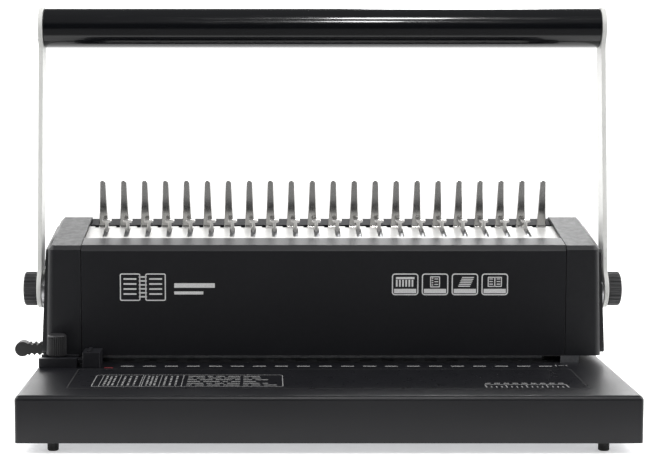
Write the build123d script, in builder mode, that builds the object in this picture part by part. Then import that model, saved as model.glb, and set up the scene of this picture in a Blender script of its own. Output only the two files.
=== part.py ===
"""Manual comb binding machine: punches 21 rectangular holes and opens plastic combs.

Millimetres. +X is to the operator's right, +Y to the back, +Z up. The origin is on the table,
under the middle of the base. The handle turns about a shaft along X. Pulled forward it turns two
pinions that drive the punch ram down. Pushed back it turns two gear sectors that draw the hook
carriage forward along the sloping deck, which opens a comb held on the fingers.
"""

import os
from math import acos, asin, cos, degrees, pi, radians, sin, tan

from build123d import *

os.makedirs("parts", exist_ok=True)

# ---------------------------------------------------------------- driving dimensions
HOLE_PITCH = 14.2875  # 9/16 inch, the standard pitch of plastic combs
HOLES = 21
FINGERS = HOLES + 1

BASE_W, BASE_D = 372.0, 225.0
FOOT_H = 6.5
BASE_TOP = 35.0
BASE_EDGE_R = 3.0
SHEET = 1.5  # thickness of the folded sheet-steel parts
GAP = 0.3  # visible joint between neighbouring covers

FRONT_Y = -3.5  # front face of the body
FRONT_BOTTOM = 40.0  # lower edge of that face, above the paper throat
FRONT_TOP = 112.0  # front edge of the sloping top
REAR_Y = 80.0  # rear wall of the body
TOP_SLOPE = 10.0  # degrees, rising to the back
SEAM_X = 158.3  # joint between the middle covers and the end caps
CAP_TOP_X, CAP_BOTTOM_X = 180.0, 182.2  # the end caps' sides flare towards the base
CAP_WALL = 2.2
PANEL_TOP_X, PANEL_BOTTOM_X = 181.5, 185.1  # the side panels' outer faces flare more

SHAFT_Y, SHAFT_Z, SHAFT_D = 25.5, 80.5, 10.0
ARM_IN, ARM_T = 187.0, 3.0
ARM_LENGTH = 175.7  # shaft to the centre of the grip
HANDLE_LEAN = 8.0  # degrees behind upright, at rest
GRIP_D, GRIP_BORE = 26.6, 24.0

DECK_DROP = 3.0  # comb deck below the covers' sloping top
ROOT_Y = 54.5  # where the fingers rise from the deck
FINGER_H, FINGER_ROOT_W, FINGER_TIP_W, FINGER_T = 32.6, 6.3, 3.8, 1.6
COMB_SHIFT = 1.0  # the row of fingers stands this far to the right of the middle
DECK_T = 1.5
HOOK_OFFSET = 2.75  # a hook and its slot stand to the right of their finger
HOOK_TRAVEL = 18.0
SLOT_W = 3.4

PUNCH_Y = 6.0
THROAT_TOP = 39.4  # paper goes in between the base's top and this height
DIE_T, GUIDE_T = 6.0, 6.8
PIN_X, PIN_Y = 7.9, 2.9
RAM_BOTTOM, RAM_TOP = 62.0, 80.0
RAM_FRONT, RAM_BACK = 0.0, 12.0
RAM_HALF = 153.5

PUNCH_SWING, OPENING_SWING = 75.0, 50.0  # degrees of the handle, each way from rest

MODULE, PRESSURE = 1.25, 25.0
BACKLASH = 0.16
PUNCH_TEETH = 16  # pitch radius 10
OPENER_TEETH = 33  # pitch radius 20.625

# ---------------------------------------------------------------- derived places
C, S = cos(radians(TOP_SLOPE)), sin(radians(TOP_SLOPE))
SLOPE = tan(radians(TOP_SLOPE))
PUNCH_R = MODULE * PUNCH_TEETH / 2
OPENER_R = MODULE * OPENER_TEETH / 2
ROOT_Z = FRONT_TOP + (ROOT_Y - FRONT_Y) * SLOPE - DECK_DROP
FRAME_IN, FRAME_OUT = 165.0, 168.0
FINGER_XS = [COMB_SHIFT + (i - (FINGERS - 1) / 2) * HOLE_PITCH for i in range(FINGERS)]
PIN_XS = [(i - (HOLES - 1) / 2) * HOLE_PITCH for i in range(HOLES)]

# The deck's own plane: x to the right, y up the slope to the back, z normal to it.
DECK = Plane((0, ROOT_Y, ROOT_Z), x_dir=(1, 0, 0), z_dir=(0, -S, C))
SHAFT_TO_ROOT_U = (ROOT_Y - SHAFT_Y) * C + (ROOT_Z - SHAFT_Z) * S
SHAFT_TO_DECK_W = -(ROOT_Y - SHAFT_Y) * S + (ROOT_Z - SHAFT_Z) * C


def top_z(y):
    """Height of the covers' sloping top at y."""
    return FRONT_TOP + (y - FRONT_Y) * SLOPE


def side(x):
    """A plane across the machine at x: its own x is +Y and its own y is +Z, from the origin."""
    return Plane((x, 0, 0), x_dir=(0, 1, 0), z_dir=(1, 0, 0))


def shaft_side(x):
    """The same, from the shaft's axis."""
    return Plane((x, SHAFT_Y, SHAFT_Z), x_dir=(0, 1, 0), z_dir=(1, 0, 0))


def deck_side(x):
    """Across the machine at x, from the shaft's axis, turned so that its own x runs up the deck."""
    return Plane((x, SHAFT_Y, SHAFT_Z), x_dir=(0, C, S), z_dir=(1, 0, 0))


def arm_side(x):
    """Across the machine at x, from the shaft's axis, with its own y along the handle's arms."""
    lean = radians(HANDLE_LEAN)
    return Plane((x, SHAFT_Y, SHAFT_Z), x_dir=(0, cos(lean), -sin(lean)), z_dir=(1, 0, 0))


def write(piece, name):
    piece.label = name
    export_step(piece, f"parts/{name}.step")


def write_pair(right, name):
    """Writes a piece of the right side and its mirror image on the left."""
    write(right, f"{name}_right")
    write(mirror(right, about=Plane.YZ), f"{name}_left")


# ---------------------------------------------------------------- gear teeth
def involute(angle):
    return tan(angle) - angle


def tooth_points(teeth):
    """Outline of one gear tooth that points along +x, from its root on one side to the other."""
    pitch_r = MODULE * teeth / 2
    base_r = pitch_r * cos(radians(PRESSURE))
    root_r, tip_r = pitch_r - 1.3 * MODULE, pitch_r + 0.9 * MODULE
    half_at_pitch = pi / (2 * teeth) - BACKLASH / 4 / pitch_r

    def half_angle(r):
        here = acos(min(1.0, base_r / r))
        return half_at_pitch + involute(radians(PRESSURE)) - involute(here)

    radii = [max(base_r, root_r), pitch_r, (pitch_r + tip_r) / 2, tip_r]
    flank = [(root_r - 0.4, half_angle(radii[0]))] + [(r, half_angle(r)) for r in radii]
    upper = [(r * cos(a), r * sin(a)) for r, a in flank]
    return upper + [(x, -y) for x, y in reversed(upper)]


def gear_teeth(teeth, first, count):
    """Teeth about the origin of the sketch in hand, from the angle first, in degrees."""
    for i in range(count):
        with Locations(Rotation(0, 0, first + i * 360 / teeth)):
            Polygon(*tooth_points(teeth), align=None)


def rack_teeth(gaps_before, gaps_after):
    """Rack teeth on the sketch's x axis, pointing to +y, with a gap at the origin."""
    lean = tan(radians(PRESSURE))
    pitch = pi * MODULE
    tip, root = 0.9 * MODULE, 1.3 * MODULE
    half = pitch / 4 - BACKLASH / 4
    for i in range(-gaps_before, gaps_after):
        middle = (i + 0.5) * pitch
        Polygon(
            (middle - half - root * lean, -root - 0.2),
            (middle + half + root * lean, -root - 0.2),
            (middle + half - tip * lean, tip),
            (middle - half + tip * lean, tip),
            align=None,
        )


# ================================================================ base
FEET_XY = (329.4, 203.0)
DRAWER_W, DRAWER_H, DRAWER_Z = 300.0, 18.0, 9.4
DRAWER_FRONT_Y, DRAWER_BACK_Y = -14.0, BASE_D / 2 - 3
DIE_FRONT_Y, DIE_BACK_Y = -1.0, 21.0
DIE_MID_Y = (DIE_FRONT_Y + DIE_BACK_Y) / 2
FOOT_FLANGE_Y, FRAME_BOLTS = 54.0, (315.0, 26.0)
M3_R, M3_HOLE_R = 1.5, 1.6  # screws, and the holes they pass through

with BuildPart() as base_housing:
    with BuildSketch(Plane.XY.offset(FOOT_H)):
        Rectangle(BASE_W, BASE_D)
    extrude(amount=BASE_TOP - FOOT_H)
    fillet(base_housing.edges().filter_by(Axis.Z), radius=2.0)
    fillet(base_housing.faces().sort_by(Axis.Z)[-1].edges(), radius=BASE_EDGE_R)
    with BuildSketch(Plane.XY.offset(FOOT_H)):
        RectangleRounded(BASE_W - 2 * SHEET, BASE_D - 2 * SHEET, 0.6)
    extrude(amount=BASE_TOP - FOOT_H - SHEET, mode=Mode.SUBTRACT)
    # The die's opening, and the holes for the bolts of the side frames.
    with BuildSketch(Plane.XY.offset(BASE_TOP - 2 * SHEET)):
        with Locations((0, DIE_MID_Y)):
            Rectangle(2 * FRAME_OUT + 1, DIE_BACK_Y - DIE_FRONT_Y + 1)
        with Locations((0, FOOT_FLANGE_Y)):
            with GridLocations(*FRAME_BOLTS, 2, 2):
                Circle(M3_HOLE_R)
    extrude(amount=3 * SHEET, mode=Mode.SUBTRACT)
    # The chip drawer's way out at the back.
    with BuildSketch(Plane.XZ.offset(-BASE_D / 2 + 5)):
        with Locations((0, DRAWER_Z + DRAWER_H / 2)):
            Rectangle(DRAWER_W + 2, DRAWER_H + 1.4)
    extrude(amount=-10, mode=Mode.SUBTRACT)
write(base_housing.part, "base_housing")

BOTTOM_Z, BOTTOM_T = FOOT_H + 0.6, 1.2
FOOT_R, FOOT_SCREW_HEAD_R, FOOT_SCREW_HEAD_H = 3.4, 2.8, 1.4
FOOT_SCREW_BOTTOM = BOTTOM_Z - 3.8
UPWARD = (Align.CENTER, Align.CENTER, Align.MIN)
with BuildPart() as bottom_plate:
    with BuildSketch(Plane.XY.offset(BOTTOM_Z)):
        RectangleRounded(BASE_W - 2 * SHEET, BASE_D - 2 * SHEET, 0.7)
        with GridLocations(*FEET_XY, 2, 2):
            Circle(M3_R + 0.05, mode=Mode.SUBTRACT)
    extrude(amount=BOTTOM_T)
write(bottom_plate.part, "bottom_plate")

with BuildPart() as rubber_feet:
    with GridLocations(*FEET_XY, 2, 2):
        Cylinder(FOOT_R, BOTTOM_Z, align=UPWARD)
    chamfer(rubber_feet.edges().group_by(Axis.Z)[0], length=0.5)
    with Locations((0, 0, BOTTOM_Z - 4)):
        with GridLocations(*FEET_XY, 2, 2):
            Cylinder(M3_R, 5, align=UPWARD, mode=Mode.SUBTRACT)
write(rubber_feet.part, "rubber_feet")

with BuildPart() as foot_screws:
    with Locations((0, 0, FOOT_SCREW_BOTTOM)):
        with GridLocations(*FEET_XY, 2, 2):
            Cylinder(M3_R, BOTTOM_Z + BOTTOM_T + 0.2 - FOOT_SCREW_BOTTOM, align=UPWARD)
    with Locations((0, 0, BOTTOM_Z + BOTTOM_T)):
        with GridLocations(*FEET_XY, 2, 2):
            Cylinder(FOOT_SCREW_HEAD_R, FOOT_SCREW_HEAD_H, align=UPWARD)
write(foot_screws.part, "foot_screws")

# The chip drawer catches the punched chips under the die and pulls out to the back.
DRAWER_WALL = 1.6
PULL_W, PULL_T = 70.0, 2.4
with BuildPart() as chip_drawer:
    drawer_mid = (DRAWER_FRONT_Y + DRAWER_BACK_Y) / 2
    drawer_length = DRAWER_BACK_Y - DRAWER_FRONT_Y
    with BuildSketch(Plane.XY.offset(DRAWER_Z)):
        with Locations((0, drawer_mid)):
            RectangleRounded(DRAWER_W, drawer_length, 3)
    extrude(amount=DRAWER_H)
    with BuildSketch(Plane.XY.offset(DRAWER_Z + DRAWER_WALL)):
        with Locations((0, drawer_mid)):
            RectangleRounded(DRAWER_W - 2 * DRAWER_WALL, drawer_length - 2 * DRAWER_WALL, 1.5)
    extrude(amount=DRAWER_H, mode=Mode.SUBTRACT)
    with BuildSketch(Plane.XY.offset(DRAWER_Z + DRAWER_H / 2)):
        with Locations((0, DRAWER_BACK_Y + 0.9)):
            Rectangle(PULL_W, 2)
    extrude(amount=PULL_T)
    fillet(chip_drawer.edges().group_by(Axis.Y)[-1].filter_by(Axis.Z), radius=1.4)
write(chip_drawer.part, "chip_drawer")

RAIL_H, RAIL_T, RAIL_LIP_W, RAIL_LIP_T = 10.0, 2.0, 7.4, 0.8
with BuildPart() as drawer_rails:
    for sign in (-1, 1):
        with BuildSketch(Plane.XZ.offset(-drawer_mid)):
            with Locations((sign * (DRAWER_W / 2 + 1.6), BOTTOM_Z + BOTTOM_T + RAIL_H / 2)):
                Rectangle(RAIL_T, RAIL_H)
            with Locations((sign * (DRAWER_W / 2 - 2), BOTTOM_Z + BOTTOM_T + RAIL_LIP_T / 2)):
                Rectangle(RAIL_LIP_W, RAIL_LIP_T)
        extrude(amount=drawer_length / 2 - 2, both=True)
write(drawer_rails.part, "drawer_rails")


# ================================================================ punching unit
PLATE_SCREW_YS = (DIE_FRONT_Y + 3.5, DIE_BACK_Y - 4)
PLATE_SCREW_ZS = (BASE_TOP - DIE_T / 2 - 0.8, THROAT_TOP + GUIDE_T / 2)
PLATE_SCREW_R, PLATE_SCREW_HEAD_R, PLATE_SCREW_DEPTH = 1.4, 2.2, 8.0


def slotted_plate(bottom, thickness, screw_z):
    """The die or the guide: a bar across the machine with a hole for each pin."""
    with BuildPart() as plate:
        with BuildSketch(Plane.XY.offset(bottom)):
            with Locations((0, DIE_MID_Y)):
                Rectangle(2 * FRAME_IN, DIE_BACK_Y - DIE_FRONT_Y)
            for x in PIN_XS:
                with Locations((x, PUNCH_Y)):
                    Rectangle(PIN_X + 0.2, PIN_Y + 0.2, mode=Mode.SUBTRACT)
        extrude(amount=thickness)
        for sign in (-1, 1):
            with BuildSketch(side(sign * FRAME_IN)):
                for y in PLATE_SCREW_YS:
                    with Locations((y, screw_z)):
                        Circle(PLATE_SCREW_R + 0.05)
            extrude(amount=-sign * (PLATE_SCREW_DEPTH + 1), mode=Mode.SUBTRACT)
    return plate.part


write(slotted_plate(BASE_TOP - DIE_T, DIE_T, PLATE_SCREW_ZS[0]), "die_plate")
write(slotted_plate(THROAT_TOP, GUIDE_T, PLATE_SCREW_ZS[1]), "guide_plate")

SPACER_X, SPACER_W = 160.5, 9.0
with BuildPart() as throat_spacers:
    for x in (-SPACER_X, SPACER_X):
        with Locations((x, DIE_FRONT_Y + SPACER_W / 2, BASE_TOP)):
            Box(SPACER_W, SPACER_W, THROAT_TOP - BASE_TOP, align=UPWARD)
write(throat_spacers.part, "throat_spacers")

SPRING_X, SPRING_R, WIRE_R = 150.0, 2.1, 0.4
SPRING_POCKET, PIN_SEAT = 6.0, 5.0  # how far the springs and the pins go up into the ram
SPRING_TURNS = 7
with BuildPart() as punch_bar:
    with BuildSketch(Plane.XY.offset(RAM_BOTTOM)):
        with Locations((0, (RAM_FRONT + RAM_BACK) / 2)):
            Rectangle(2 * RAM_HALF, RAM_BACK - RAM_FRONT)
    extrude(amount=RAM_TOP - RAM_BOTTOM)
    with BuildSketch(Plane.XY.offset(RAM_BOTTOM)):
        for x in PIN_XS:
            with Locations((x, PUNCH_Y)):
                Rectangle(PIN_X, PIN_Y)
    extrude(amount=PIN_SEAT, mode=Mode.SUBTRACT)
    with BuildSketch(Plane.XY.offset(RAM_BOTTOM)):
        for x in (-SPRING_X, SPRING_X):
            with Locations((x, PUNCH_Y)):
                Circle(SPRING_R + WIRE_R + 0.3)
    extrude(amount=SPRING_POCKET, mode=Mode.SUBTRACT)
write(punch_bar.part, "punch_bar")

# Three lengths of pin share the cutting load: the outer pins bite first.
PIN_REST_Z, PIN_STEP = THROAT_TOP + 0.2, 0.8
with BuildPart() as punch_pins:
    for i, x in enumerate(PIN_XS):
        steps_in = 2 - min(2, abs(i - (HOLES - 1) // 2) // 4)
        tip = PIN_REST_Z + PIN_STEP * steps_in
        with Locations((x, PUNCH_Y, tip)):
            Box(PIN_X, PIN_Y, RAM_BOTTOM + PIN_SEAT - tip, align=UPWARD)
write(punch_pins.part, "punch_pins")

SPRING_BOTTOM = THROAT_TOP + GUIDE_T
spring_height = RAM_BOTTOM + SPRING_POCKET - SPRING_BOTTOM - 2 * WIRE_R - 0.2
with BuildPart() as return_spring:
    with BuildLine():
        coil = Helix(pitch=spring_height / SPRING_TURNS, height=spring_height, radius=SPRING_R)
    with BuildSketch(Plane(origin=coil @ 0, z_dir=coil % 0)):
        Circle(WIRE_R)
    sweep()
with BuildPart() as return_springs:
    for x in (-SPRING_X, SPRING_X):
        with Locations((x, PUNCH_Y, SPRING_BOTTOM + WIRE_R + 0.1)):
            add(return_spring.part)
write(return_springs.part, "return_springs")

# The racks stand on the ram's top and back. Their own x axis runs down.
RACK_X, RACK_T = 138.0, 8.0
RACK_ROOT = 1.3 * MODULE
RACK_DOWN, RACK_UP, RACK_FOOT = 15.0, 23.0, 9.0  # from the shaft's height, and over the ram
RACK_PLANE = Plane((RACK_X, SHAFT_Y - PUNCH_R, SHAFT_Z), x_dir=(0, 0, -1), z_dir=(1, 0, 0))
with BuildPart() as punch_rack:
    with BuildSketch(RACK_PLANE):
        rack_teeth(5, 3)
        back = -RACK_ROOT - 0.1
        on_ram = RAM_BACK - (SHAFT_Y - PUNCH_R)
        over_ram = SHAFT_Z - RAM_TOP
        Polygon(
            (-RACK_UP, back),
            (over_ram, back),
            (over_ram, back - RACK_FOOT),
            (-RACK_UP, back - RACK_FOOT),
            align=None,
        )
        Polygon(
            (-RACK_UP, -RACK_ROOT),
            (RACK_DOWN, -RACK_ROOT),
            (RACK_DOWN, on_ram),
            (-RACK_UP, on_ram),
            align=None,
        )
    extrude(amount=RACK_T)
write_pair(punch_rack.part, "punch_rack")

# ================================================================ side frames
DECK_UNDER = DECK_DROP + DECK_T / C  # below the covers' top, measured upright
FRAME_BACK_Y = 74.0
FLANGE_T = 2.0
LEVER_WINDOW = (6.0, 22.0, 45.6, 50.6)  # in the left frame, front to back and bottom to top
BUSH_R, SLEEVE_R, SLEEVE_BORE_R = 10.5, 8.0, SHAFT_D / 2 + 0.05
DECK_RIVET_X, DECK_RIVET_US = 171.6, (-29.0, -5.0)
BACK_SCREW_X, BACK_SCREW_ZS = 155.0, (52.0, 103.0)
RIVET_R, RIVET_HEAD_R, RIVET_HEAD_T = 1.2, 2.2, 1.2
# The middle and the size of each flange, in its own plane.
FOOT_FLANGE, FOOT_FLANGE_SIZE = (158.0, FOOT_FLANGE_Y), (14.2, 38.0)
DECK_FLANGE, DECK_FLANGE_SIZE = (171.0, -17.0), (7.0, 34.0)
BACK_FLANGE, BACK_FLANGE_SIZE = (158.0, 79.0), (20.0, 68.0)


def deck_under_z(y):
    return top_z(y) - DECK_UNDER


def side_frame(sign):
    """A frame plate with a foot flange inward, a deck flange outward and a back flange inward."""
    inner = sign * FRAME_IN
    with BuildPart() as frame:
        with BuildSketch(side(inner)):
            Polygon(
                (DIE_FRONT_Y, BASE_TOP - DIE_T),
                (DIE_BACK_Y, BASE_TOP - DIE_T),
                (DIE_BACK_Y, BASE_TOP),
                (FRAME_BACK_Y, BASE_TOP),
                (FRAME_BACK_Y, deck_under_z(FRAME_BACK_Y) - 6),
                (FRAME_BACK_Y - 6, deck_under_z(FRAME_BACK_Y - 6)),
                (DIE_FRONT_Y, deck_under_z(DIE_FRONT_Y)),
                align=None,
            )
            with Locations((SHAFT_Y, SHAFT_Z)):
                Circle(BUSH_R, mode=Mode.SUBTRACT)
            for y in PLATE_SCREW_YS:
                for z in PLATE_SCREW_ZS:
                    with Locations((y, z)):
                        Circle(M3_HOLE_R, mode=Mode.SUBTRACT)
            if sign < 0:
                y0, y1, z0, z1 = LEVER_WINDOW
                Polygon((y0, z0), (y1, z0), (y1, z1), (y0, z1), align=None, mode=Mode.SUBTRACT)
        extrude(amount=sign * (FRAME_OUT - FRAME_IN))
        with BuildSketch(Plane.XY.offset(BASE_TOP)):
            with Locations((sign * FOOT_FLANGE[0], FOOT_FLANGE[1])):
                Rectangle(*FOOT_FLANGE_SIZE)
            with Locations((sign * FRAME_BOLTS[0] / 2, FOOT_FLANGE_Y)):
                with GridLocations(1, FRAME_BOLTS[1], 1, 2):
                    Circle(M3_HOLE_R, mode=Mode.SUBTRACT)
        extrude(amount=FLANGE_T)
        with BuildSketch(DECK.offset(-DECK_T - FLANGE_T)):
            with Locations((sign * DECK_FLANGE[0], DECK_FLANGE[1])):
                Rectangle(*DECK_FLANGE_SIZE)
            for u in DECK_RIVET_US:
                with Locations((sign * DECK_RIVET_X, u)):
                    Circle(RIVET_R, mode=Mode.SUBTRACT)
        extrude(amount=FLANGE_T)
        with BuildSketch(Plane.XZ.offset(-FRAME_BACK_Y)):
            with Locations((sign * BACK_FLANGE[0], BACK_FLANGE[1])):
                Rectangle(*BACK_FLANGE_SIZE)
            for z in BACK_SCREW_ZS:
                with Locations((sign * BACK_SCREW_X, z)):
                    Circle(1.3, mode=Mode.SUBTRACT)
        extrude(amount=FLANGE_T)
    return frame.part


write(side_frame(1), "side_frame_right")
write(side_frame(-1), "side_frame_left")

BOLT_HEAD_R, BOLT_HEAD_H = 2.9, 1.8
with BuildPart() as frame_bolts:
    with Locations((0, FOOT_FLANGE_Y, BASE_TOP - SHEET)):
        with GridLocations(*FRAME_BOLTS, 2, 2):
            Cylinder(M3_R, SHEET + FLANGE_T, align=UPWARD)
    with Locations((0, FOOT_FLANGE_Y, BASE_TOP - SHEET - BOLT_HEAD_H)):
        with GridLocations(*FRAME_BOLTS, 2, 2):
            Cylinder(BOLT_HEAD_R, BOLT_HEAD_H, align=UPWARD)
write(frame_bolts.part, "frame_bolts")

with BuildPart() as plate_screws:
    for sign in (-1, 1):
        with BuildSketch(side(sign * (FRAME_IN - PLATE_SCREW_DEPTH))):
            for y in PLATE_SCREW_YS:
                for z in PLATE_SCREW_ZS:
                    with Locations((y, z)):
                        Circle(PLATE_SCREW_R)
        extrude(amount=sign * (PLATE_SCREW_DEPTH + FRAME_OUT - FRAME_IN))
        with BuildSketch(side(sign * FRAME_OUT)):
            for y in PLATE_SCREW_YS:
                for z in PLATE_SCREW_ZS:
                    with Locations((y, z)):
                        Circle(PLATE_SCREW_HEAD_R)
        extrude(amount=sign * 1.6)
write(plate_screws.part, "plate_screws")

RUNNING_FIT, BUSH_FLANGE_W, BUSH_FLANGE_T = 0.05, 2.5, 2.0
with BuildPart() as bushing:
    with BuildSketch(side(FRAME_IN)):
        with Locations((SHAFT_Y, SHAFT_Z)):
            Circle(BUSH_R)
            Circle(SLEEVE_R + RUNNING_FIT, mode=Mode.SUBTRACT)
    extrude(amount=FRAME_OUT - FRAME_IN)
    with BuildSketch(side(FRAME_OUT)):
        with Locations((SHAFT_Y, SHAFT_Z)):
            Circle(BUSH_R + BUSH_FLANGE_W)
            Circle(SLEEVE_R + RUNNING_FIT, mode=Mode.SUBTRACT)
    extrude(amount=BUSH_FLANGE_T)
write_pair(bushing.part, "bushing")

# ================================================================ comb deck and hooks
DECK_FRONT_U, DECK_BACK_U, DECK_HALF = -45.0, -1.2, 175.0
STEM_W, STEM_U = 2.4, (-6.0, -3.0)
HOOK_TOP, HOOK_HEAD_W, HOOK_HEAD_T = 6.4, 6.2, 1.8
HOOK_XS = [x + HOOK_OFFSET for x in FINGER_XS[:-1]]
SLOT_U = (STEM_U[0] - HOOK_TRAVEL - 1.2, -1.6)

with BuildPart() as comb_deck:
    with BuildSketch(DECK.offset(-DECK_T)):
        with Locations((0, (DECK_FRONT_U + DECK_BACK_U) / 2)):
            Rectangle(2 * DECK_HALF, DECK_BACK_U - DECK_FRONT_U)
        for x in HOOK_XS:
            with Locations((x, (SLOT_U[0] + SLOT_U[1]) / 2)):
                SlotOverall(SLOT_U[1] - SLOT_U[0], SLOT_W, rotation=90, mode=Mode.SUBTRACT)
        for sign in (-1, 1):
            for u in DECK_RIVET_US:
                with Locations((sign * DECK_RIVET_X, u)):
                    Circle(RIVET_R, mode=Mode.SUBTRACT)
    extrude(amount=DECK_T)
write(comb_deck.part, "comb_deck")

# The fingers stand square to the deck on the bar behind it. Each narrows to a round tip.
with BuildPart() as finger_bar:
    with BuildSketch(DECK.offset(-DECK_T)):
        with Locations((0, (DECK_BACK_U + FINGER_T) / 2)):
            Rectangle(2 * DECK_HALF, FINGER_T - DECK_BACK_U)
    extrude(amount=DECK_T)
    finger_plane = Plane(DECK.origin, x_dir=(1, 0, 0), z_dir=(0, C, S))
    with BuildSketch(finger_plane):
        for x in FINGER_XS:
            tip_r = FINGER_TIP_W / 2
            with Locations((x, 0)):
                Polygon(
                    (-FINGER_ROOT_W / 2, DECK_T),
                    (-tip_r, -(FINGER_H - tip_r)),
                    (tip_r, -(FINGER_H - tip_r)),
                    (FINGER_ROOT_W / 2, DECK_T),
                    align=None,
                )
            with Locations((x, -(FINGER_H - tip_r))):
                Circle(tip_r)
    extrude(amount=FINGER_T)
write(finger_bar.part, "finger_bar")

with BuildPart() as deck_rivets:
    for sign in (-1, 1):
        for u in DECK_RIVET_US:
            with BuildSketch(DECK.offset(-DECK_T - FLANGE_T)):
                with Locations((sign * DECK_RIVET_X, u)):
                    Circle(RIVET_R)
            extrude(amount=DECK_T + FLANGE_T)
            with BuildSketch(DECK.offset(-DECK_T - FLANGE_T - RIVET_HEAD_T)):
                with Locations((sign * DECK_RIVET_X, u)):
                    Circle(RIVET_HEAD_R)
            extrude(amount=RIVET_HEAD_T)
write(deck_rivets.part, "deck_rivets")

CARRIAGE_TOP, CARRIAGE_T = -2.2, 1.8
CARRIAGE_US = (-27.0, 11.0)
GUIDE_U = -12.0
GUIDE_XS = [FINGER_XS[i] + HOOK_OFFSET + HOLE_PITCH / 2 for i in (2, 18)]
GUIDE_R, GUIDE_HEAD_R, GUIDE_PLAY = 2.0, 4.0, 0.4
CARRIAGE_HALF = 163.0
# The legs and the racks under the shaft, along the deck from the shaft's axis.
LEG_X, LEG_T, LEG_US = 161.0, 2.0, (28.0, 41.0)
LOW_RACK_X, LOW_RACK_T, LOW_RACK_FRONT = 155.5, 6.0, -6.0
with BuildPart() as hook_carriage:
    with BuildSketch(DECK.offset(CARRIAGE_TOP - CARRIAGE_T)):
        with Locations((0, sum(CARRIAGE_US) / 2)):
            Rectangle(2 * CARRIAGE_HALF, CARRIAGE_US[1] - CARRIAGE_US[0])
        for x in GUIDE_XS:
            with Locations((x, GUIDE_U + HOOK_TRAVEL / 2)):
                SlotOverall(HOOK_TRAVEL + 5, 4.6, rotation=90, mode=Mode.SUBTRACT)
        for x in HOOK_XS:
            with Locations((x, sum(STEM_U) / 2)):
                Rectangle(STEM_W, STEM_U[1] - STEM_U[0], mode=Mode.SUBTRACT)
    extrude(amount=CARRIAGE_T)
    # A leg down each side ends in an arm under the shaft, which carries the rack.
    leg_top = SHAFT_TO_DECK_W + CARRIAGE_TOP - CARRIAGE_T
    arm_bottom, arm_top = -OPENER_R - 6, -OPENER_R - RACK_ROOT
    for sign in (-1, 1):
        with BuildSketch(deck_side(sign * LEG_X)):
            Polygon(
                (LEG_US[0], leg_top),
                (LEG_US[0], arm_top),
                (LOW_RACK_FRONT, arm_top),
                (LOW_RACK_FRONT, arm_bottom),
                (LEG_US[1], arm_bottom),
                (LEG_US[1], leg_top),
                align=None,
            )
        extrude(amount=sign * LEG_T)
        rack_back = LEG_US[0] - 2
        with BuildSketch(deck_side(sign * LOW_RACK_X)):
            with Locations((0, -OPENER_R)):
                rack_teeth(1, 6)
            Polygon(
                (LOW_RACK_FRONT, arm_bottom),
                (rack_back, arm_bottom),
                (rack_back, arm_top),
                (LOW_RACK_FRONT, arm_top),
                align=None,
            )
        extrude(amount=sign * LOW_RACK_T)
write(hook_carriage.part, "hook_carriage")

with BuildPart() as comb_hooks:
    for x in HOOK_XS:
        with BuildSketch(DECK.offset(CARRIAGE_TOP - CARRIAGE_T)):
            with Locations((x, sum(STEM_U) / 2)):
                Rectangle(STEM_W, STEM_U[1] - STEM_U[0])
        extrude(amount=HOOK_TOP - CARRIAGE_TOP + CARRIAGE_T)
        with BuildSketch(DECK.offset(HOOK_TOP - HOOK_HEAD_T)):
            with Locations((x, sum(STEM_U) / 2)):
                Rectangle(HOOK_HEAD_W, STEM_U[1] - STEM_U[0])
        extrude(amount=HOOK_HEAD_T)
write(comb_hooks.part, "comb_hooks")

with BuildPart() as carriage_guides:
    for x in GUIDE_XS:
        with BuildSketch(DECK.offset(-DECK_T)):
            with Locations((x, GUIDE_U)):
                Circle(GUIDE_R)
        extrude(amount=-(CARRIAGE_T - CARRIAGE_TOP - DECK_T + GUIDE_PLAY))
        with BuildSketch(DECK.offset(CARRIAGE_TOP - CARRIAGE_T - GUIDE_PLAY)):
            with Locations((x, GUIDE_U)):
                Circle(GUIDE_HEAD_R)
        extrude(amount=-1.2)
write(carriage_guides.part, "carriage_guides")

# ================================================================ shafts and gears
GEAR_X, GEAR_T = 155.6, 4.6
SLEEVE_END = ARM_IN - 0.4
DOG_X, DOG_R, DOG_HUB_R = 184.0, 12.6, 6.6
PIN_ORBIT, STUD_R = 10.6, 1.9
TIE_R, TIE_ORBIT, TIE_AT, LUG_R = 4.0, 20.0, 45.0, 6.5  # the rod that ties the two opener gears
TONGUE_HALF = 2.6
STUB = 6.5  # how far the shaft reaches into a pivot knob

with BuildPart() as main_shaft:
    with BuildSketch(shaft_side(-ARM_IN)):
        Circle(SHAFT_D / 2)
    extrude(amount=2 * ARM_IN)
    with BuildSketch(shaft_side(-ARM_IN - ARM_T)):
        Circle(SHAFT_D / 2)
        Rectangle(SHAFT_D + 1, 2 * TONGUE_HALF, mode=Mode.INTERSECT)
    extrude(amount=2 * (ARM_IN + ARM_T))
    with BuildSketch(shaft_side(-ARM_IN - ARM_T - STUB)):
        Circle(TONGUE_HALF)
    extrude(amount=2 * (ARM_IN + ARM_T + STUB))
write(main_shaft.part, "main_shaft")

with BuildPart() as punch_pinion:
    with BuildSketch(shaft_side(RACK_X)):
        Circle(PUNCH_R - RACK_ROOT)
        gear_teeth(PUNCH_TEETH, 180, PUNCH_TEETH)
        Circle(SHAFT_D / 2, mode=Mode.SUBTRACT)
    extrude(amount=RACK_T)
    with BuildSketch(shaft_side(RACK_X - 5)):
        Circle(7.5)
        Circle(SHAFT_D / 2, mode=Mode.SUBTRACT)
    extrude(amount=5)
write_pair(punch_pinion.part, "punch_pinion")

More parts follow.
